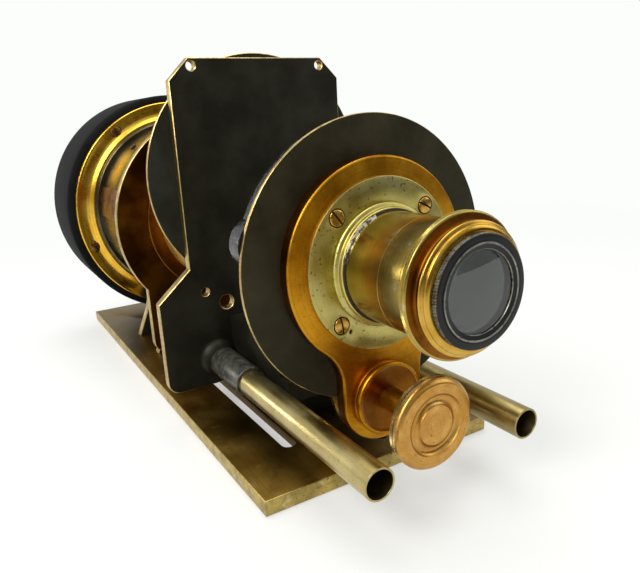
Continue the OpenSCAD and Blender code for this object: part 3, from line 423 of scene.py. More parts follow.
def addPlate(bm, draw, low, high, soft, steps=1, wall=0, rim=0):
    # Fills the closed lines that draw makes, holes included, and thickens them from low to high along Z. Soft is
    # the rounding of the upper and the lower rim, or of both.
    soft = soft if isinstance(soft, tuple) else (soft, soft)
    oldEdges, old = set(bm.edges), set(bm.verts)
    draw(bm)
    bmesh.ops.remove_doubles(bm, verts=[v for v in bm.verts if v not in old], dist=mergeGap)
    edges = [e for e in bm.edges if e not in oldEdges]
    under = only(BMFace, bmesh.ops.triangle_fill(
        bm, use_beauty=True, use_dissolve=False, edges=edges, normal=(0, 0, 1))["geom"])
    bmesh.ops.translate(bm, vec=(0, 0, low + soft[1]), verts=list({v for f in under for v in f.verts}))
    grown = bmesh.ops.extrude_face_region(bm, geom=under)["geom"]
    over = only(BMFace, grown)
    bmesh.ops.translate(bm, vec=(0, 0, high - low - sum(soft)), verts=only(BMVert, grown))
    for face in {f for v in {v for f in over + under for v in f.verts} for f in v.link_faces}:
        face.material_index = wall
    for faces, size, way in ((over, soft[0], 1), (under, soft[1], -1)):
        for face in softenCap(bm, faces, size, steps, way) if size else ():
            face.material_index = rim
        for face in faces:
            face.material_index = 0
    return bm


def uprightPlate(name, body, finishNames, draw, frontY, backY, soft, steps=1, rim=1):
    # A second finish goes on the walls, and on the rims unless rim is 0.
    wall = len(finishNames) - 1
    bm = addPlate(bmesh.new(), draw, -backY, -frontY, soft, steps, wall, min(rim, wall))
    makePiece(bm, name, body, finishNames, standing)


def addBlock(bm, low, high, edge, index=0):
    # The bevelled edges may have another finish.
    size = [h - l for l, h in zip(low, high)]
    middle = [(h + l) / 2 for l, h in zip(low, high)]
    verts = bmesh.ops.create_cube(
        bm, size=1, matrix=Matrix.Translation(middle) @ Matrix.Diagonal((*size, 1)))["verts"]
    for face in bevelled(bm, list({e for v in verts for e in v.link_edges}), edge, "EDGES", 2):
        face.material_index = index
    return bm


def addCone(bm, low, high, radius, topRadius, steps, index=0, turn=upward):
    verts = bmesh.ops.create_cone(
        bm, cap_ends=True, segments=steps, radius1=radius, radius2=topRadius, depth=high - low,
        matrix=turn @ onAxis((low + high) / 2))["verts"]
    for face in {f for v in verts for f in v.link_faces}:
        face.material_index = index


def addScrew(bm, radius, height, slot, depth, matrix, dome=0.5, steps=48):
    # Slotted head standing on z = 0: two domed halves, and the second finish, near-black painted shade and dirt, for
    # the floor and walls of the slot.
    old = set(bm.verts)
    addCone(bm, 0, height - depth, radius, radius, steps, 1)
    rise = [(radius * q, height - dome * q * q) for q in (0.8, 0.55, 0.3)]
    profile = [(0, 0.05), (radius - 0.02, 0.05), (radius, height - dome, 0.25), *rise, (0, height)]
    for side in (-1, 1):
        before = set(bm.verts)
        addTurned(bm, profile, steps)
        verts = [v for v in bm.verts if v not in before]
        bmesh.ops.rotate(bm, cent=(0, 0, 0), matrix=standing.to_3x3(), verts=verts)
        geom = [*verts, *{e for v in verts for e in v.link_edges}, *{f for v in verts for f in v.link_faces}]
        cut = bmesh.ops.bisect_plane(bm, geom=geom, dist=hair, plane_co=(side * slot / 2, 0, 0),
                                     plane_no=(side, 0, 0), clear_inner=True, clear_outer=False)["geom_cut"]
        for face in bmesh.ops.edgenet_fill(bm, edges=only(BMEdge, cut))["faces"]:
            face.material_index = 1
    bmesh.ops.transform(bm, matrix=matrix, verts=[v for v in bm.verts if v not in old])



def screwPlace(x, y, z, spin, facing=standing):
    # Spin turns the slot. The head faces the front unless facing turns it.
    return Matrix.Translation((x, y, z)) @ facing @ rotated(spin, "Z")


def ringPlace(pitch, degrees, y, spin):
    across, up = around(pitch, degrees)
    return screwPlace(across, y, up, spin)


def screws(name, body, finishName, size, places, node=None):
    # Size is the head's radius and height and its slot's width and depth.
    bm = bmesh.new()
    for matrix in places:
        addScrew(bm, *size, matrix)
    makePiece(bm, name, body, [finishName, "paintedShadeAndDirt"], node=node)


smallScrew = (3.2, 1.6, 0.8, 0.8)

base = {"halfWidth": 57.8, "front": -97.3, "back": 207.7, "thick": 6.8, "edge": 0.45, "slotX": 29.7, "slotWidth": 6.4,
        "slotFront": -67, "slotBack": 165, "rebateWidth": 11, "rebateDepth": 3, "nearSlot": 4}


def baseOutline(bm, width):
    w = base["halfWidth"]
    closedLine(bm, (-w, base["front"]), (w, base["front"]), (w, base["back"]), (-w, base["back"]))
    front = base["slotFront"] + base["slotWidth"] / 2
    back = base["slotBack"] - base["slotWidth"] / 2
    for side in (-1, 1):
        x = side * base["slotX"]
        turn = line(bm, None, (x - width / 2, back), (x - width / 2, front))
        turn = line(bm, arc(bm, turn, (x, front), 180, 16), (x + width / 2, back))
        arc(bm, turn, (x, back), 180, 16)


bm = bmesh.new()
for width, low, high, soft in ((base["slotWidth"], base["rebateDepth"], base["thick"], (base["edge"], 0)),
                               (base["rebateWidth"], 0, base["rebateDepth"], (0, base["edge"]))):
    addPlate(bm, lambda b: baseOutline(b, width), low, high, soft, 2, 1, 1)
for face in bm.faces:
    middle = face.calc_center_median()
    alongSlot = base["slotFront"] - base["nearSlot"] < middle.y < base["slotBack"] + base["nearSlot"]
    if alongSlot and abs(middle.x) < base["slotX"] + base["rebateWidth"]:
        face.material_index = 0
makePiece(bm, "basePlate", "bench", ["baseBrass", "baseEdge"])

guide = {"halfWidth": 26.5, "front": -61.5, "capFront": -54, "bottom": 23.95, "capTop": 50, "barHalf": 10.05,
         "barLow": 26.45, "barHigh": 42.55, "edge": 0.3, "screwX": 18, "screwY": (-16, -44)}
pedestal = {"low": (-24, -45, 6.8), "high": (24, -0.02, 23.9), "edge": 0.3}


def guideOutline(bm, end, channel):
    # The section across the bar: a block with a channel cut from its joint face.
    w, c = guide["halfWidth"], guide["barHalf"]
    closedLine(bm, (-w, end), (w, end), (w, focusHeight), (c, focusHeight), (c, channel), (-c, channel),
               (-c, focusHeight), (-w, focusHeight))


uprightPlate("guideBlock", "bench", ["blackPlate"],
             lambda b: guideOutline(b, guide["bottom"], guide["barLow"]), guide["front"], 0, (guide["edge"], 0))
makePiece(addBlock(bmesh.new(), **pedestal), "guidePedestal", "bench",
          ["blackPlate"], node="")
uprightPlate("guideCap", "bench", ["blackPlate"],
             lambda b: guideOutline(b, guide["capTop"], guide["barHigh"]), guide["capFront"], 0, (guide["edge"], 0))
screws("capScrews", "bench", "screwSteel", smallScrew, [
    screwPlace(side * guide["screwX"], y, guide["capTop"], math.degrees(0.6 + side + y), upward)
    for side in (-1, 1) for y in guide["screwY"]], "guide_cap_screws")
print("base and guide")

# Holes are (across, up, radius, steps) and come in pairs: for hanging, for small pegs and for large ones.
stage = {"thick": 4.9, "topHalf": 35.35, "half": 45.4, "footHalf": 62.6, "top": 176.2, "bottom": 14.9, "corner": 9.9,
         "flareTop": 77.6, "flareBottom": 62.6, "footRound": 6, "edge": 0.35, "lightHole": 12.5, "screwHole": 3.6,
         "holes": ((34.3, 172.6, 2.2, 24), (38.4, 65, 2.15, 24), (27.5, 57.8, 3.7, 32)),
         "screwX": 18, "screwHeights": (30.5, 43.5)}
sleeve = {"outer": 7.45, "bore": 6.3, "front": -40, "back": 14.9, "bead": 10.2, "x": 34.9, "blackFrom": -9}
rod = {"outer": 6.25, "inner": 5.45, "front": -140.8, "back": 20.2}


def stageOutline(bm):
    s = stage
    r = s["footRound"]
    first = line(bm, None, (s["footHalf"] - r, s["bottom"]))
    turn = arc(bm, first, (s["footHalf"] - r, s["bottom"] + r), 90, 8)
    turn = line(bm, turn, (s["footHalf"], s["flareBottom"]), (s["half"], s["flareTop"]),
                (s["half"], s["top"] - s["corner"]), (s["topHalf"], s["top"]), (-s["topHalf"], s["top"]),
                (-s["half"], s["top"] - s["corner"]), (-s["half"], s["flareTop"]),
                (-s["footHalf"], s["flareBottom"]), (-s["footHalf"], s["bottom"] + r))
    bm.edges.new((arc(bm, turn, (-s["footHalf"] + r, s["bottom"] + r), 90, 8), first))
    circle(bm, 0, axisHeight, s["lightHole"], 64)
    circle(bm, 0, focusHeight, s["screwHole"], 24)
    for side in (-1, 1):
        for across, up, radius, steps in s["holes"]:
            circle(bm, side * across, up, radius, steps)
        circle(bm, side * sleeve["x"], rodHeight, sleeve["outer"] - 0.1)


uprightPlate("stagePlate", "bench", ["blackPlate", "wornEdge"], stageOutline, 0, stage["thick"],
             stage["edge"])
for side, word in sides:
    o, b, bead, front, back = (sleeve[key] for key in ("outer", "bore", "bead", "front", "back"))
    # Behind blackFrom the sleeve's root takes the plain black: partly its unworn paint, partly painted shade where it
    # meets the plate.
    turned("sleeve_" + word, "bench", ["wornSleeve", "blackPlate"], [
        (b, front), (o - 0.3, front), (o, front + 0.3), (o, -6, 2), (o + 1.2, -3.6, 1.2), (bead, -1.8, 0.9),
        (bead, -0.02), (o, -0.02), (o, back - 0.4), (o - 0.4, back), (b, back)],
        rodHeight, side * sleeve["x"], 64, zones=[(1, sleeve["blackFrom"], 15, 0, 11)])
    o, b, front, back = (rod[key] for key in ("outer", "inner", "front", "back"))
    # The right rod takes the darker copy of the rod brass, painted shade.
    turned("rod_" + word, "rod_" + word, ["rodDark" if side > 0 else "rodBrass", "oliveBrass"], [
        (b, front, 0.15), (o, front, 0.25), (o, back, 0.25), (b, back, 0.15)],
        rodHeight, side * sleeve["x"], 64, zones=[(1, front + 0.4, back - 0.2, 0, b + 0.05)])
screws("stageScrews", "bench", "screwSteel", smallScrew, [
    screwPlace(side * stage["screwX"], stage["thick"], z, math.degrees(side * stage["screwX"] + z), backward)
    for side in (-1, 1) for z in stage["screwHeights"]])
print("stage")

wheel = {"radius": 59.05, "front": 5.4, "back": 7.2, "edge": 0.3, "bore": 4.05, "pitch": 29.2,
         "sizes": (25, 19, 13, 7)}


def wheelOutline(bm):
    circle(bm, 0, pivotHeight, wheel["radius"], 160)
    circle(bm, 0, pivotHeight, wheel["bore"], 24)
    for step, size in enumerate(wheel["sizes"]):
        circle(bm, *around(wheel["pitch"], 90 * step - 90, pivotHeight), size / 2)


uprightPlate("revolvingDisc", "wheel", ["blackWheel", "wornEdge"], wheelOutline, wheel["front"],
             wheel["back"], wheel["edge"])
turned("discHub", "wheel", ["oliveBrass"],
       [(wheel["bore"], 7.2), (9, 7.2), (9, 9.3, 0.3), (8.6, 9.7, 0.2), (wheel["bore"], 9.7)], pivotHeight, steps=64)
turned("discPivot", "bench", ["screwSteel"],
       [(0, 9.75), (6, 9.75, 0.2), (6, 10.9, 0.4), (5.3, 11.5, 0.3), (0, 11.55)], pivotHeight, steps=48)
print("revolving disc")

head = {"discFront": -91.3, "back": -89.8, "discRadius": 57.15, "discEdge": 0.22, "notch": 19.25, "lightHole": 12,
        "pearFront": -97, "pearRadius": 41.65, "lobe": 19.5, "neck": 20.8, "pearRound": 0.9, "pearHole": 18.9,
        "stemHole": 5.05}
backing = {"outer": 54.9, "inner": 44, "endRadius": 10, "endPitch": 48.3, "endLift": 3, "front": -89.8, "back": -80,
           "round": 2.2}


def discOutline(bm):
    # A round disc with the notch for the root of the bar, and the light hole.
    drop = axisHeight - focusHeight
    r, n = head["discRadius"], head["notch"]
    down = (r * r - n * n + drop * drop) / (2 * drop)
    half = math.sqrt(r * r - down * down)
    start = line(bm, None, (half, axisHeight - down))
    turn = arc(bm, start, (0, axisHeight), 360 - 2 * math.degrees(math.atan2(half, down)), 160)
    turn = arc(bm, turn, (0, focusHeight), -2 * math.degrees(math.atan2(half, drop - down)))
    joinEnds(bm, start, turn)
    circle(bm, 0, axisHeight, head["lightHole"])


def backingOutline(bm):
    # Upper half ring with two round ends that stand a little proud of it.
    reach, size = backing["endPitch"], backing["endRadius"]
    tilt = math.degrees(math.asin((size + backing["endLift"]) / reach))

    def meeting(radius):
        # How far round the ring's edge the circle of an end meets it.
        return tilt + math.degrees(math.acos((radius ** 2 + reach ** 2 - size ** 2) / (2 * radius * reach)))

    outerStart, innerStart = meeting(backing["outer"]), meeting(backing["inner"])
    start = line(bm, None, around(backing["outer"], outerStart))
    turn = arc(bm, start, (0, axisHeight), 180 - 2 * outerStart, 80)
    for side, goal in ((-1, around(backing["inner"], innerStart)), (1, around(backing["outer"], outerStart))):
        x, y = around(reach, tilt)
        here = math.atan2(turn.co.y - y, turn.co.x - side * x)
        there = math.atan2(goal[1] - y, side * (goal[0] - x))
        turn = arc(bm, turn, (side * x, y), math.degrees((there - here) % math.tau))
        if side < 0:
            turn = arc(bm, turn, (0, axisHeight), 2 * innerStart - 180, 64)
    joinEnds(bm, start, turn)


def pearOutline(bm):
    lobe, neck, radius = head["lobe"], head["neck"], head["pearRadius"]
    x = lobe + neck
    drop = math.sqrt((radius + neck) ** 2 - x * x)
    angle = math.degrees(math.atan2(x, drop))
    share = radius / (radius + neck)
    start = line(bm, None, (x * share, axisHeight - drop * share))
    turn = arc(bm, start, (0, axisHeight), 360 - 2 * angle, 128)
    turn = arc(bm, turn, (-x, axisHeight - drop), angle - 90, 20)
    turn = arc(bm, line(bm, turn, (-lobe, focusHeight)), (0, focusHeight), 180, 48)
    turn = arc(bm, line(bm, turn, (lobe, axisHeight - drop)), (x, axisHeight - drop), angle - 90, 20)
    joinEnds(bm, start, turn)
    circle(bm, 0, axisHeight, head["pearHole"])
    circle(bm, 0, focusHeight, head["stemHole"], 24)


uprightPlate("frontDisc", "head", ["blackDisc", "wornEdge"], discOutline, head["discFront"],
             head["back"], head["discEdge"])
uprightPlate("discBacking", "head", ["blackCast"], backingOutline, backing["front"],
             backing["back"], (0, backing["round"]), 4)
uprightPlate("pearPlate", "head", ["orangeLacquer", "darkOrange"], pearOutline, head["pearFront"],
             head["discFront"], (head["pearRound"], 0), 4, rim=0)

bar = {"low": (-10, -88, 26.5), "high": (10, -35, 42.5), "edge": 0.4}
bm = addTurned(bmesh.new(), [(0, -91.25), (19.2, -91.25), (19.2, -88.2, 0.5), (16.5, -80, 1), (0, -80)], 96)
bmesh.ops.translate(bm, vec=(0, 0, focusHeight), verts=bm.verts[:])
makePiece(addBlock(bm, **bar), "focusBar", "head", ["goldLacquer"])

mountFlange = {"radius": 34.1, "front": -99, "bore": 21.55, "edge": 0.35, "recess": 3.55, "pin": (-16.7, 66.7, 0.75),
               "screwPitch": 29.2, "screw": (3.2, 2.6, 0.7, 0.9), "screwTurns": {45: 62, 135: 38, 225: 8, 315: 70}}


def flangeOutline(bm):
    circle(bm, 0, axisHeight, mountFlange["radius"], 160)
    circle(bm, 0, axisHeight, mountFlange["bore"], 96)
    for turn in mountFlange["screwTurns"]:
        circle(bm, *around(mountFlange["screwPitch"], turn), mountFlange["recess"], 32)
    circle(bm, *mountFlange["pin"], 20)


uprightPlate("mountFlange", "head", ["rawBrass"], flangeOutline, mountFlange["front"],
             head["pearFront"], (mountFlange["edge"], 0), 2)
screws("flangeScrews", "head", "screwGold", mountFlange["screw"],
       [ringPlace(mountFlange["screwPitch"], turn, head["pearFront"], spin)
        for turn, spin in mountFlange["screwTurns"].items()])

barrel = {"radius": 21.5, "bore": 19.9, "front": -140, "back": -97, "grooves": (-137.3, -134.9, -123.5),
          "grooveDepth": 0.11}
solderRun = {"from": -168, "span": 58}
turned("barrelCollar", "head", ["rawBrass"], [
    (21.55, -103.6, 0.2), (22.5, -103.6, 0.3), (22.75, -103.1), (22.75, -101.4, 0.3), (23.9, -101.1, 0.3),
    (24.4, -100.5, 0.3), (24.4, -99), (21.55, -99)])
# A thin dark ring all round the barrel's root is painted shade for the gap there; the solder bits lie over part of
# it.
turned("solderRing", "head", ["paintedShadeAndDirt"],
       [(21.5, -104.3), (22, -104.1, 0.2), (22.3, -103.5), (21.5, -103.5)], steps=96, node="")
makePiece(addSector([(21.5, -104.9), (22.3, -104.5), (22.5, -103.4), (21.5, -103.4)], solderRun["span"], 40),
          "solderRun", "head", ["solder"], roundAxis(solderRun["from"]), "")
barrelProfile = [(barrel["bore"], barrel["front"]), (barrel["radius"], barrel["front"], 0.3)]
for y in barrel["grooves"]:
    for along, depth in ((-0.14, 0), (-0.05, barrel["grooveDepth"]), (0.05, barrel["grooveDepth"]), (0.14, 0)):
        barrelProfile.append((barrel["radius"] - depth, y + along))
barrelProfile += [(barrel["radius"], barrel["back"]), (barrel["bore"], barrel["back"])]
turned("barrel", "head", ["barrelBrass", "blackPlate"], barrelProfile, steps=160,
       zones=[(1, -139.9, -97, 0, 20.2)])

# In the lens mount the cove between the ridge and the flange face takes the dark orange, painted shade in the hollow.
turned("lensMount", "lens_mount", ["brightLacquer", "darkOrange", "blackPlate", "barrelBrass"], [
    (18, -148.5), (20, -148.5, 0.4), (21, -148.25, 0.5), (21.75, -147.6, 0.4), (21.45, -147.05, 0.15),
    (22.05, -146.85, 0.1), (22.8, -146.6, 0.3), (22.8, -145.75, 0.3), (22, -145.2, 0.3), (21.3, -144.3, 0.9),
    (21.9, -143.2, 0.9), (24.4, -142.7, 0.3), (25.2, -142.5, 0.2), (25.45, -142.2, 0.1), (25.45, -140.4, 0.1),
    (25.2, -140.1, 0.1), (24.9, -140), (19.85, -140), (19.85, -134), (18, -134)],
    steps=640, milled=[(-142.15, -140.45, 25.4, 0.2)],
    zones=[(1, -145.6, -142.5, 21, 24.6), (2, -148.4, -134.1, 0, 18.1), (3, -142.6, -139.9, 24.6, 26)])
turned("lensCell", "lens_cell", ["cellBlack", "cellTeeth"], [
    (16.9, -150.8), (18.9, -150.8, 0.25), (19.25, -150.4), (19.25, -150.1), (19.25, -148.6), (17.95, -148.5),
    (17.95, -141.5), (14.1, -141.5), (14.1, -146.2), (16.9, -146.2)],
    steps=240, milled=[(-150.42, -148.55, 19.2, 0.3)], zones=[(1, -150.41, -148.4, 18.8, 19.4)])
turned("cellRing", "lens_cell", ["cellBlack", "greyMetal"], [
    (16.85, -151), (16.85, -149.9), (14.1, -149.9), (13.95, -150.1, 0.1), (14.15, -150.45, 0.1),
    (15.75, -150.7, 0.2), (15.95, -151, 0.08), (16.3, -151, 0.08), (16.5, -150.8, 0.1), (16.75, -150.85, 0.05)],
    steps=192, zones=[(1, -151.1, -150.78, 15.8, 16.4), (1, -150.5, -149.95, 13.8, 14.3)])
turned("frontLens", "lens_cell", ["clearGlass"],
       bulge(14, 0.9, -149.9, -1) + [(16.8, -149.9), (16.8, -146.2), (0, -146.2)])
turned("objective", "head", ["barrelBrass", "blackPlate"], [
    (9, -89.8), (16, -89.8), (16, -86.8, 0.3), (12, -86.2, 0.4), (12, -56.9, 0.3), (10.5, -55.9), (10.5, -34),
    (9.8, -33.4), (7, -24, 0.3), (5, -24), (5, -29), (7.5, -29.2), (7.5, -36), (9, -38)],
    steps=96, zones=[(1, -89.7, -24.1, 0, 9.5)])
turned("objectiveLens", "head", ["clearGlass"],
       bulge(7.4, 1.2, -32.3, -1) + [(7.4, -29.3), (0, -29.3)], steps=64)

# The boss's dish takes the dark orange, painted shade round the stem; its rim keeps the orange lacquer.
turned("knobBoss", "head", ["darkOrange", "orangeLacquer"], [
    (5.05, -98.8), (5.05, -100.1), (6.6, -100.1, 0.4), (13.2, -100.6, 0.3), (14.3, -101.25, 0.3),
    (15.2, -101.2, 0.2), (15.6, -100.6, 0.2), (15.6, -99.4, 0.3), (15.1, -98.8), (14.2, -98.6, 0.2),
    (14.2, -98, 0.2), (15.1, -97.8, 0.2), (15.1, -97), (7.9, -97), (7.9, -98.8)],
    focusHeight, zones=[(1, -101.4, -97, 14.2, 16)])
cove = {"middle": 10.15, "half": 2.25, "depth": 1.4, "face": -128.95}
hollow = bulge(cove["half"], cove["depth"], cove["face"], 1, 8)
turned("focusKnob", "knob", ["copper", "orangeLacquer", "screwSteel", "knobEdge"], [
    (0, -128.45), (0.5, -128.65, 0.3), (7.4, -128.85, 0.2),
    *((cove["middle"] - across, y) for across, y in reversed(hollow)),
    *((cove["middle"] + across, y) for across, y in hollow[1:]),
    (12.6, -129.28, 0.1), (16.6, -129.3, 0.4), (17.9, -128.3, 0.4), (18.4, -127.4), (18.4, -126.1), (17.8, -125.9),
    (17.8, -125.6), (18.4, -125.4), (18.4, -124.1), (17.6, -123.3, 0.3), (7.6, -123.6, 0.4), (5.8, -122.8, 0.5),
    (5, -121, 0.8), (5, -98.6), (7.5, -98.6), (7.5, -97.1), (5, -97.1), (5, -88.1), (3, -88.1), (3, -8.8, 0.3),
    (2.2, -8, 0.2), (0, -8)],
    focusHeight, steps=480, milled=[(-127.45, -126.05, 18.3, 0.22), (-125.45, -124.05, 18.3, 0.22)],
    zones=[(1, -122.5, -88.2, 0, 9), (2, -88.2, -7.9, 0, 5.1), (3, -127.45, -123.9, 17.7, 18.5)])
print("focusing head")

condenser = {"front": 67.6, "back": 72.4, "radius": 62.4, "footHalf": 49.8, "bottom": 14, "footRound": 6,
             "bore": 37.5, "edge": 0.4}


def condenserOutline(bm):
    bottom, half, r = condenser["bottom"], condenser["footHalf"], condenser["footRound"]
    rise = math.sqrt(condenser["radius"] ** 2 - half ** 2)
    start = line(bm, None, (half - r, bottom))
    turn = arc(bm, start, (half - r, bottom + r), 90, 8)
    turn = line(bm, turn, (half, axisHeight - rise))
    turn = arc(bm, turn, (0, axisHeight), 360 - 2 * math.degrees(math.atan2(half, rise)), 128)
    turn = line(bm, turn, (-half, bottom + r))
    bm.edges.new((arc(bm, turn, (r - half, bottom + r), 90, 8), start))
    circle(bm, 0, axisHeight, condenser["bore"], 128)


uprightPlate("condenserPlate", "carriage", ["darkOrange", "wornEdge"], condenserOutline,
             condenser["front"], condenser["back"], condenser["edge"])
turned("fieldFlange", "carriage", ["darkOrange"],
       [(37.5, 66.2, 0.2), (44.6, 66.2, 0.3), (45, 66.6, 0.2), (45, 67.6), (37.5, 67.6)], steps=160)
turned("fieldTube", "field", ["fieldGold", "blackPlate"],
       [(35.85, 36, 0.4), (37.45, 36, 0.4), (37.45, 80), (35.85, 80)], steps=160, zones=[(1, 46, 79.9, 0, 36)])
turned("fieldStop", "field", ["blackPlate"], [(33, 47, 0.2), (35.8, 47), (35.8, 50), (33, 50)],
       steps=96)
turned("fieldLens", "field", ["clearGlass"],
       bulge(33, 5, 50, -1) + [(35.8, 50), (35.8, 53)] + bulge(33, 5, 53, 1)[::-1])

turned("rearBarrel", "carriage", ["steelBrass", "blackPlate"], [
    (54.4, 72.4), (56, 72.4), (56, 88.6), (55.85, 88.8), (55.85, 89.2), (56, 89.4), (56, 144), (54.4, 144)],
    steps=192, zones=[(1, 72.4, 144, 0, 54.6)])
turned("rearFlange", "carriage", ["goldLacquer", "steelBrass"], [
    (56.05, 136.5), (58.2, 136.5, 0.3), (58.6, 136.9, 0.2), (58.6, 137.3), (59.2, 137.5, 0.1), (59.2, 138.6),
    (59.7, 138.4, 0.2), (60.6, 138.4, 0.3), (61.4, 139.4, 0.7), (63.4, 140.9, 1.2), (67.6, 140.9, 1.2),
    (69.9, 140, 0.4), (70.6, 140, 0.2), (71.05, 140.5, 0.1), (71.05, 144), (56.05, 144)],
    steps=192, zones=[(1, 136.4, 138.3, 56, 59.3)])
rearScrew = {"count": 5, "pitch": 66, "y": 141, "size": (3.3, 1.1, 0.9, 0.7), "recessShadeRadius": 4, "recessShadeHigh": 0.2}
bm = bmesh.new()
for step in range(rearScrew["count"]):
    spot = rearScrew["pitch"], 126 - 360 / rearScrew["count"] * step, rearScrew["y"]
    addScrew(bm, *rearScrew["size"], ringPlace(*spot, 25 + 50 * step))
    # A flat dark disc under each head is painted shadow for the recess the screw sits in.
    addCone(bm, 0, rearScrew["recessShadeHigh"], rearScrew["recessShadeRadius"], rearScrew["recessShadeRadius"], 40, 1,
            ringPlace(*spot, 0))
makePiece(bm, "rearFlangeScrews", "carriage", ["screwBrown", "paintedShadeAndDirt"])
turned("rearDrum", "carriage", ["blackLacquer"], [
    (54.4, 144), (73.4, 144, 0.8), (75.2, 145.1, 0.8), (75.8, 147.2, 0.6), (75.8, 153), (75.68, 153.15),
    (75.68, 153.35), (75.8, 153.5), (75.8, 200, 0.4), (75, 200.8, 0.3), (68, 200.8, 0.3), (68, 150), (54.4, 150)],
    steps=192)
turned("condenserLens", "carriage", ["clearGlass"],
       bulge(51.55, 14, 122, -1) + [(54.35, 122), (54.35, 126), (0, 126)])
for word, y in (("Front", 119), ("Back", 126)):
    turned("lensStop" + word, "carriage", ["blackPlate"],
           [(51.55, y, 0.2), (54.35, y), (54.35, y + 3), (51.55, y + 3, 0.2)])

leg = {"footHalf": 44.3, "waistHalf": 34, "flare": 2.8, "flareTop": 35.8, "flareBottom": 24.6, "thick": 6,
       "saddle": 56.05, "edge": 0.4, "front": 84, "rear": 126}
saddleBar = {"low": (-37, 90, 6.8), "high": (37, 126, 11.8), "edge": 0.4}
stud = {"y": 108, "headLow": (-5, -5, 0.6), "headHigh": (5, 5, 3), "edge": 0.2, "radius": 2.5, "tipRadius": 1.9,
        "foot": 2.6, "shoulder": 24, "top": 24.8}


def legOutline(bm):
    foot, waist, saddle = leg["footHalf"], leg["waistHalf"], leg["saddle"]
    flare = waist + leg["flare"]
    top = axisHeight - math.sqrt(saddle ** 2 - (waist - 1) ** 2)
    first = line(bm, None, (-foot, base["thick"]))
    turn = line(bm, first, (foot, base["thick"]), (flare, leg["flareBottom"]), (waist, leg["flareTop"]),
                (waist - 1, top))
    turn = arc(bm, turn, (0, axisHeight), -2 * math.degrees(math.asin((waist - 1) / saddle)), 32)
    bm.edges.new((line(bm, turn, (-waist, leg["flareTop"]), (-flare, leg["flareBottom"])), first))


for word in ("front", "rear"):
    uprightPlate(word + "Leg", "carriage", ["blackPlate", "wornEdge"], legOutline, leg[word],
                 leg[word] + leg["thick"], leg["edge"])
makePiece(addBlock(bmesh.new(), **saddleBar, index=1), "saddleBar", "carriage",
          ["oliveBrass", "wornEdge"])
for side, word in sides:
    bm = addBlock(bmesh.new(), stud["headLow"], stud["headHigh"], stud["edge"])
    addCone(bm, stud["foot"], stud["shoulder"], stud["radius"], stud["radius"], 32)
    addCone(bm, stud["shoulder"], stud["top"], stud["radius"], stud["tipRadius"], 32)
    studPlace = Matrix.Translation((side * base["slotX"], stud["y"], 0))
    makePiece(bm, "clampStud_" + word, "carriage", ["screwSteel"], studPlace)
    bm = addTurned(bmesh.new(), [
        (2.55, 0), (5.3, 0), (5.3, 1.4, 0.2), (7.1, 1.7, 0.2), (7.3, 2.2), (7.3, 6.2), (6.6, 7.2, 0.3),
        (4.7, 8, 0.4), (2.55, 8)], 96, milled=[(2.15, 6.25, 7.2, 0.3)])
    makePiece(bm, "clampNut_" + word, "nut_" + word, ["goldLacquer"],
              studPlace @ onAxis(saddleBar["high"][2]) @ standing)

patch = {"from": -160, "span": -18.7}
setScrew = {"place": (-35, 117, 134.4), "tilt": -38.7, "size": (2.2, 1.1, 0.6, 0.5)}
makePiece(addSector([(56.05, 94.4), (56.85, 94.4), (56.85, 136), (56.05, 136)], patch["span"], 16), "barrelPatch",
          "carriage", ["copperPatch"], roundAxis(patch["from"]), "barrel_tab")
screws("barrelSetScrew", "carriage", "screwBrown", setScrew["size"], [
    screwPlace(*setScrew["place"], 0, rotated(setScrew["tilt"], "Y"))])
print("condenser")

# Nodes that keep the CAD's shape get a finish only.
kept = {"focus_nut": "oliveBrass", "base_screws": "screwSteel", "lobe_screw": "blackLacquer"}
for nodeName, finishName in kept.items():
    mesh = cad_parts[nodeName].data
    mesh.materials.clear()
    mesh.materials.append(finishes[finishName])

# The place is in millimetres, the table's front edge in metres. Tones are red, green and blue.
view = {"place": (-138.32, -285.34, 147.46), "azimuth": -30.30, "elevation": 15.57, "roll": -3.02, "lens": 34.43,
        "background": (0.966, 0.991, 0.966), "floor": (0.45, 0.4535, 0.44), "floorLift": 0.41, "tableFront": -0.7}
floorFinish, floorPlace = newFinish("floorFinish")
paths = addNode(floorFinish, "LightPath", {}).outputs
seen = combined(floorFinish, "MAXIMUM", paths["Is Camera Ray"], paths["Is Glossy Ray"])
seen = combined(floorFinish, "MAXIMUM", seen, paths["Is Transmission Ray"])
setShader(floorFinish, {
    "Base Color": mixColour(floorFinish, noise(floorFinish, floorPlace, 6, 3), view["floor"],
                            tuple(value * 0.985 for value in view["floor"])),
    "Roughness": 0.7, "Emission Color": (1, 1, 0.985, 1),
    "Emission Strength": combined(floorFinish, "MULTIPLY", seen, view["floorLift"])})
# Far from the part the floor fades into the background.
away = distance(floorFinish, stretched(floorFinish, floorPlace, (1, 1, 0)))
far = combined(floorFinish, "MULTIPLY", ranged(floorFinish, away, 0.28, 0.75, 0, 1), seen)
glow = addNode(floorFinish, "Emission", {"Color": (*view["background"], 1), "Strength": 1})
nodes = floorFinish.node_tree.nodes
faded = addNode(floorFinish, "MixShader", {0: far, 1: nodes["Principled BSDF"].outputs["BSDF"], 2: glow.outputs[0]})
feed(floorFinish, nodes["Material Output"].inputs["Surface"], faded.outputs[0])
bm = bmesh.new()
bmesh.ops.create_grid(bm, x_segments=2, y_segments=2, size=6)
bmesh.ops.translate(bm, vec=(0, 6 + view["tableFront"], -0.0002), verts=bm.verts[:])
floor = newObject("floor", newMesh("floor", bm, [floorFinish]))

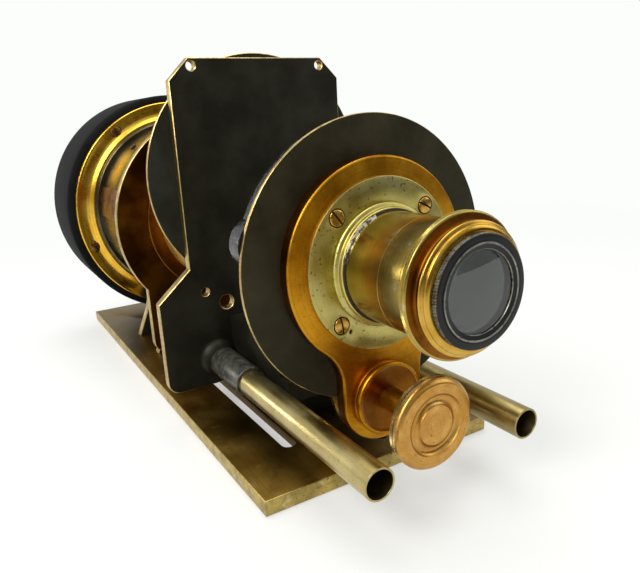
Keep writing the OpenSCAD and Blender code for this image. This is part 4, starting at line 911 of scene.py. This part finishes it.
# What shiny parts see: a dark room in front, a pale one behind, and soft light above and to the left.
room = {"dark": 0.1, "above": 0.75, "behind": 0.85, "left": 0.45, "matt": 0.58}
world = bpy.data.worlds.new("studio")
scene.world = world
world.use_nodes = True
split = addNode(world, "SeparateXYZ", {0: addNode(world, "TexCoord", {}).outputs["Generated"]}).outputs
strength = ranged(world, split["Z"], 0.1, 0.75, room["dark"], room["dark"] + room["above"])
strength = combined(world, "MAXIMUM", strength, ranged(world, split["Y"], -0.25, 0.45, 0, room["behind"]))
strength = combined(world, "MAXIMUM", strength, ranged(world, split["X"], -0.2, -0.9, 0, room["left"]))
paths = addNode(world, "LightPath", {}).outputs
shiny = combined(world, "MAXIMUM", paths["Is Glossy Ray"], paths["Is Transmission Ray"])
soft = addNode(world, "Mix", {0: shiny, 2: room["matt"], 3: strength}, data_type="FLOAT").outputs[0]
whole = addNode(world, "Mix", {0: paths["Is Camera Ray"], 2: soft, 3: 1}, data_type="FLOAT").outputs[0]
sky = world.node_tree.nodes["Background"]
feed(world, sky.inputs["Color"], (*view["background"], 1))
feed(world, sky.inputs["Strength"], whole)

lamps = {
    "windowLamp": {"from": (-0.8, -0.3, 0.8), "to": (0, -0.03, 0.08), "size": 0.6, "power": 9.5},
    "topLamp": {"from": (0.1, 0.15, 1.1), "to": (0, 0.05, 0.06), "size": 0.8, "power": 6},
    "backLamp": {"from": (-0.67, 0.75, 0.28), "to": (-0.02, -0.12, 0.095), "size": 0.2, "power": 1.3},
    "fillLamp": {"from": (0.85, -0.55, 0.55), "to": (0, -0.05, 0.08), "size": 0.5, "power": 1.5},
}
for name, lamp in lamps.items():
    light = bpy.data.lights.new(name, "AREA")
    light.size = lamp["size"]
    light.energy = lamp["power"]
    lampObject = newObject(name, light)
    start, goal = Vector(lamp["from"]), Vector(lamp["to"])
    lampObject.location = start
    lampObject.rotation_euler = (goal - start).to_track_quat("-Z", "Y").to_euler()

camera = bpy.data.cameras.new("camera")
camera.lens = view["lens"]
camera.sensor_width = 36
camera.sensor_fit = "HORIZONTAL"
camera.clip_start = 0.01
camera.clip_end = 50
cameraObject = newObject("camera", camera)
turn = rotated(view["azimuth"], "Z") @ rotated(90 - view["elevation"], "X") @ rotated(view["roll"], "Z")
cameraObject.matrix_world = Matrix.Translation([value * mm for value in view["place"]]) @ turn
scene.camera = cameraObject
scene.view_settings.view_transform = "Standard"
print("floor, light and camera")
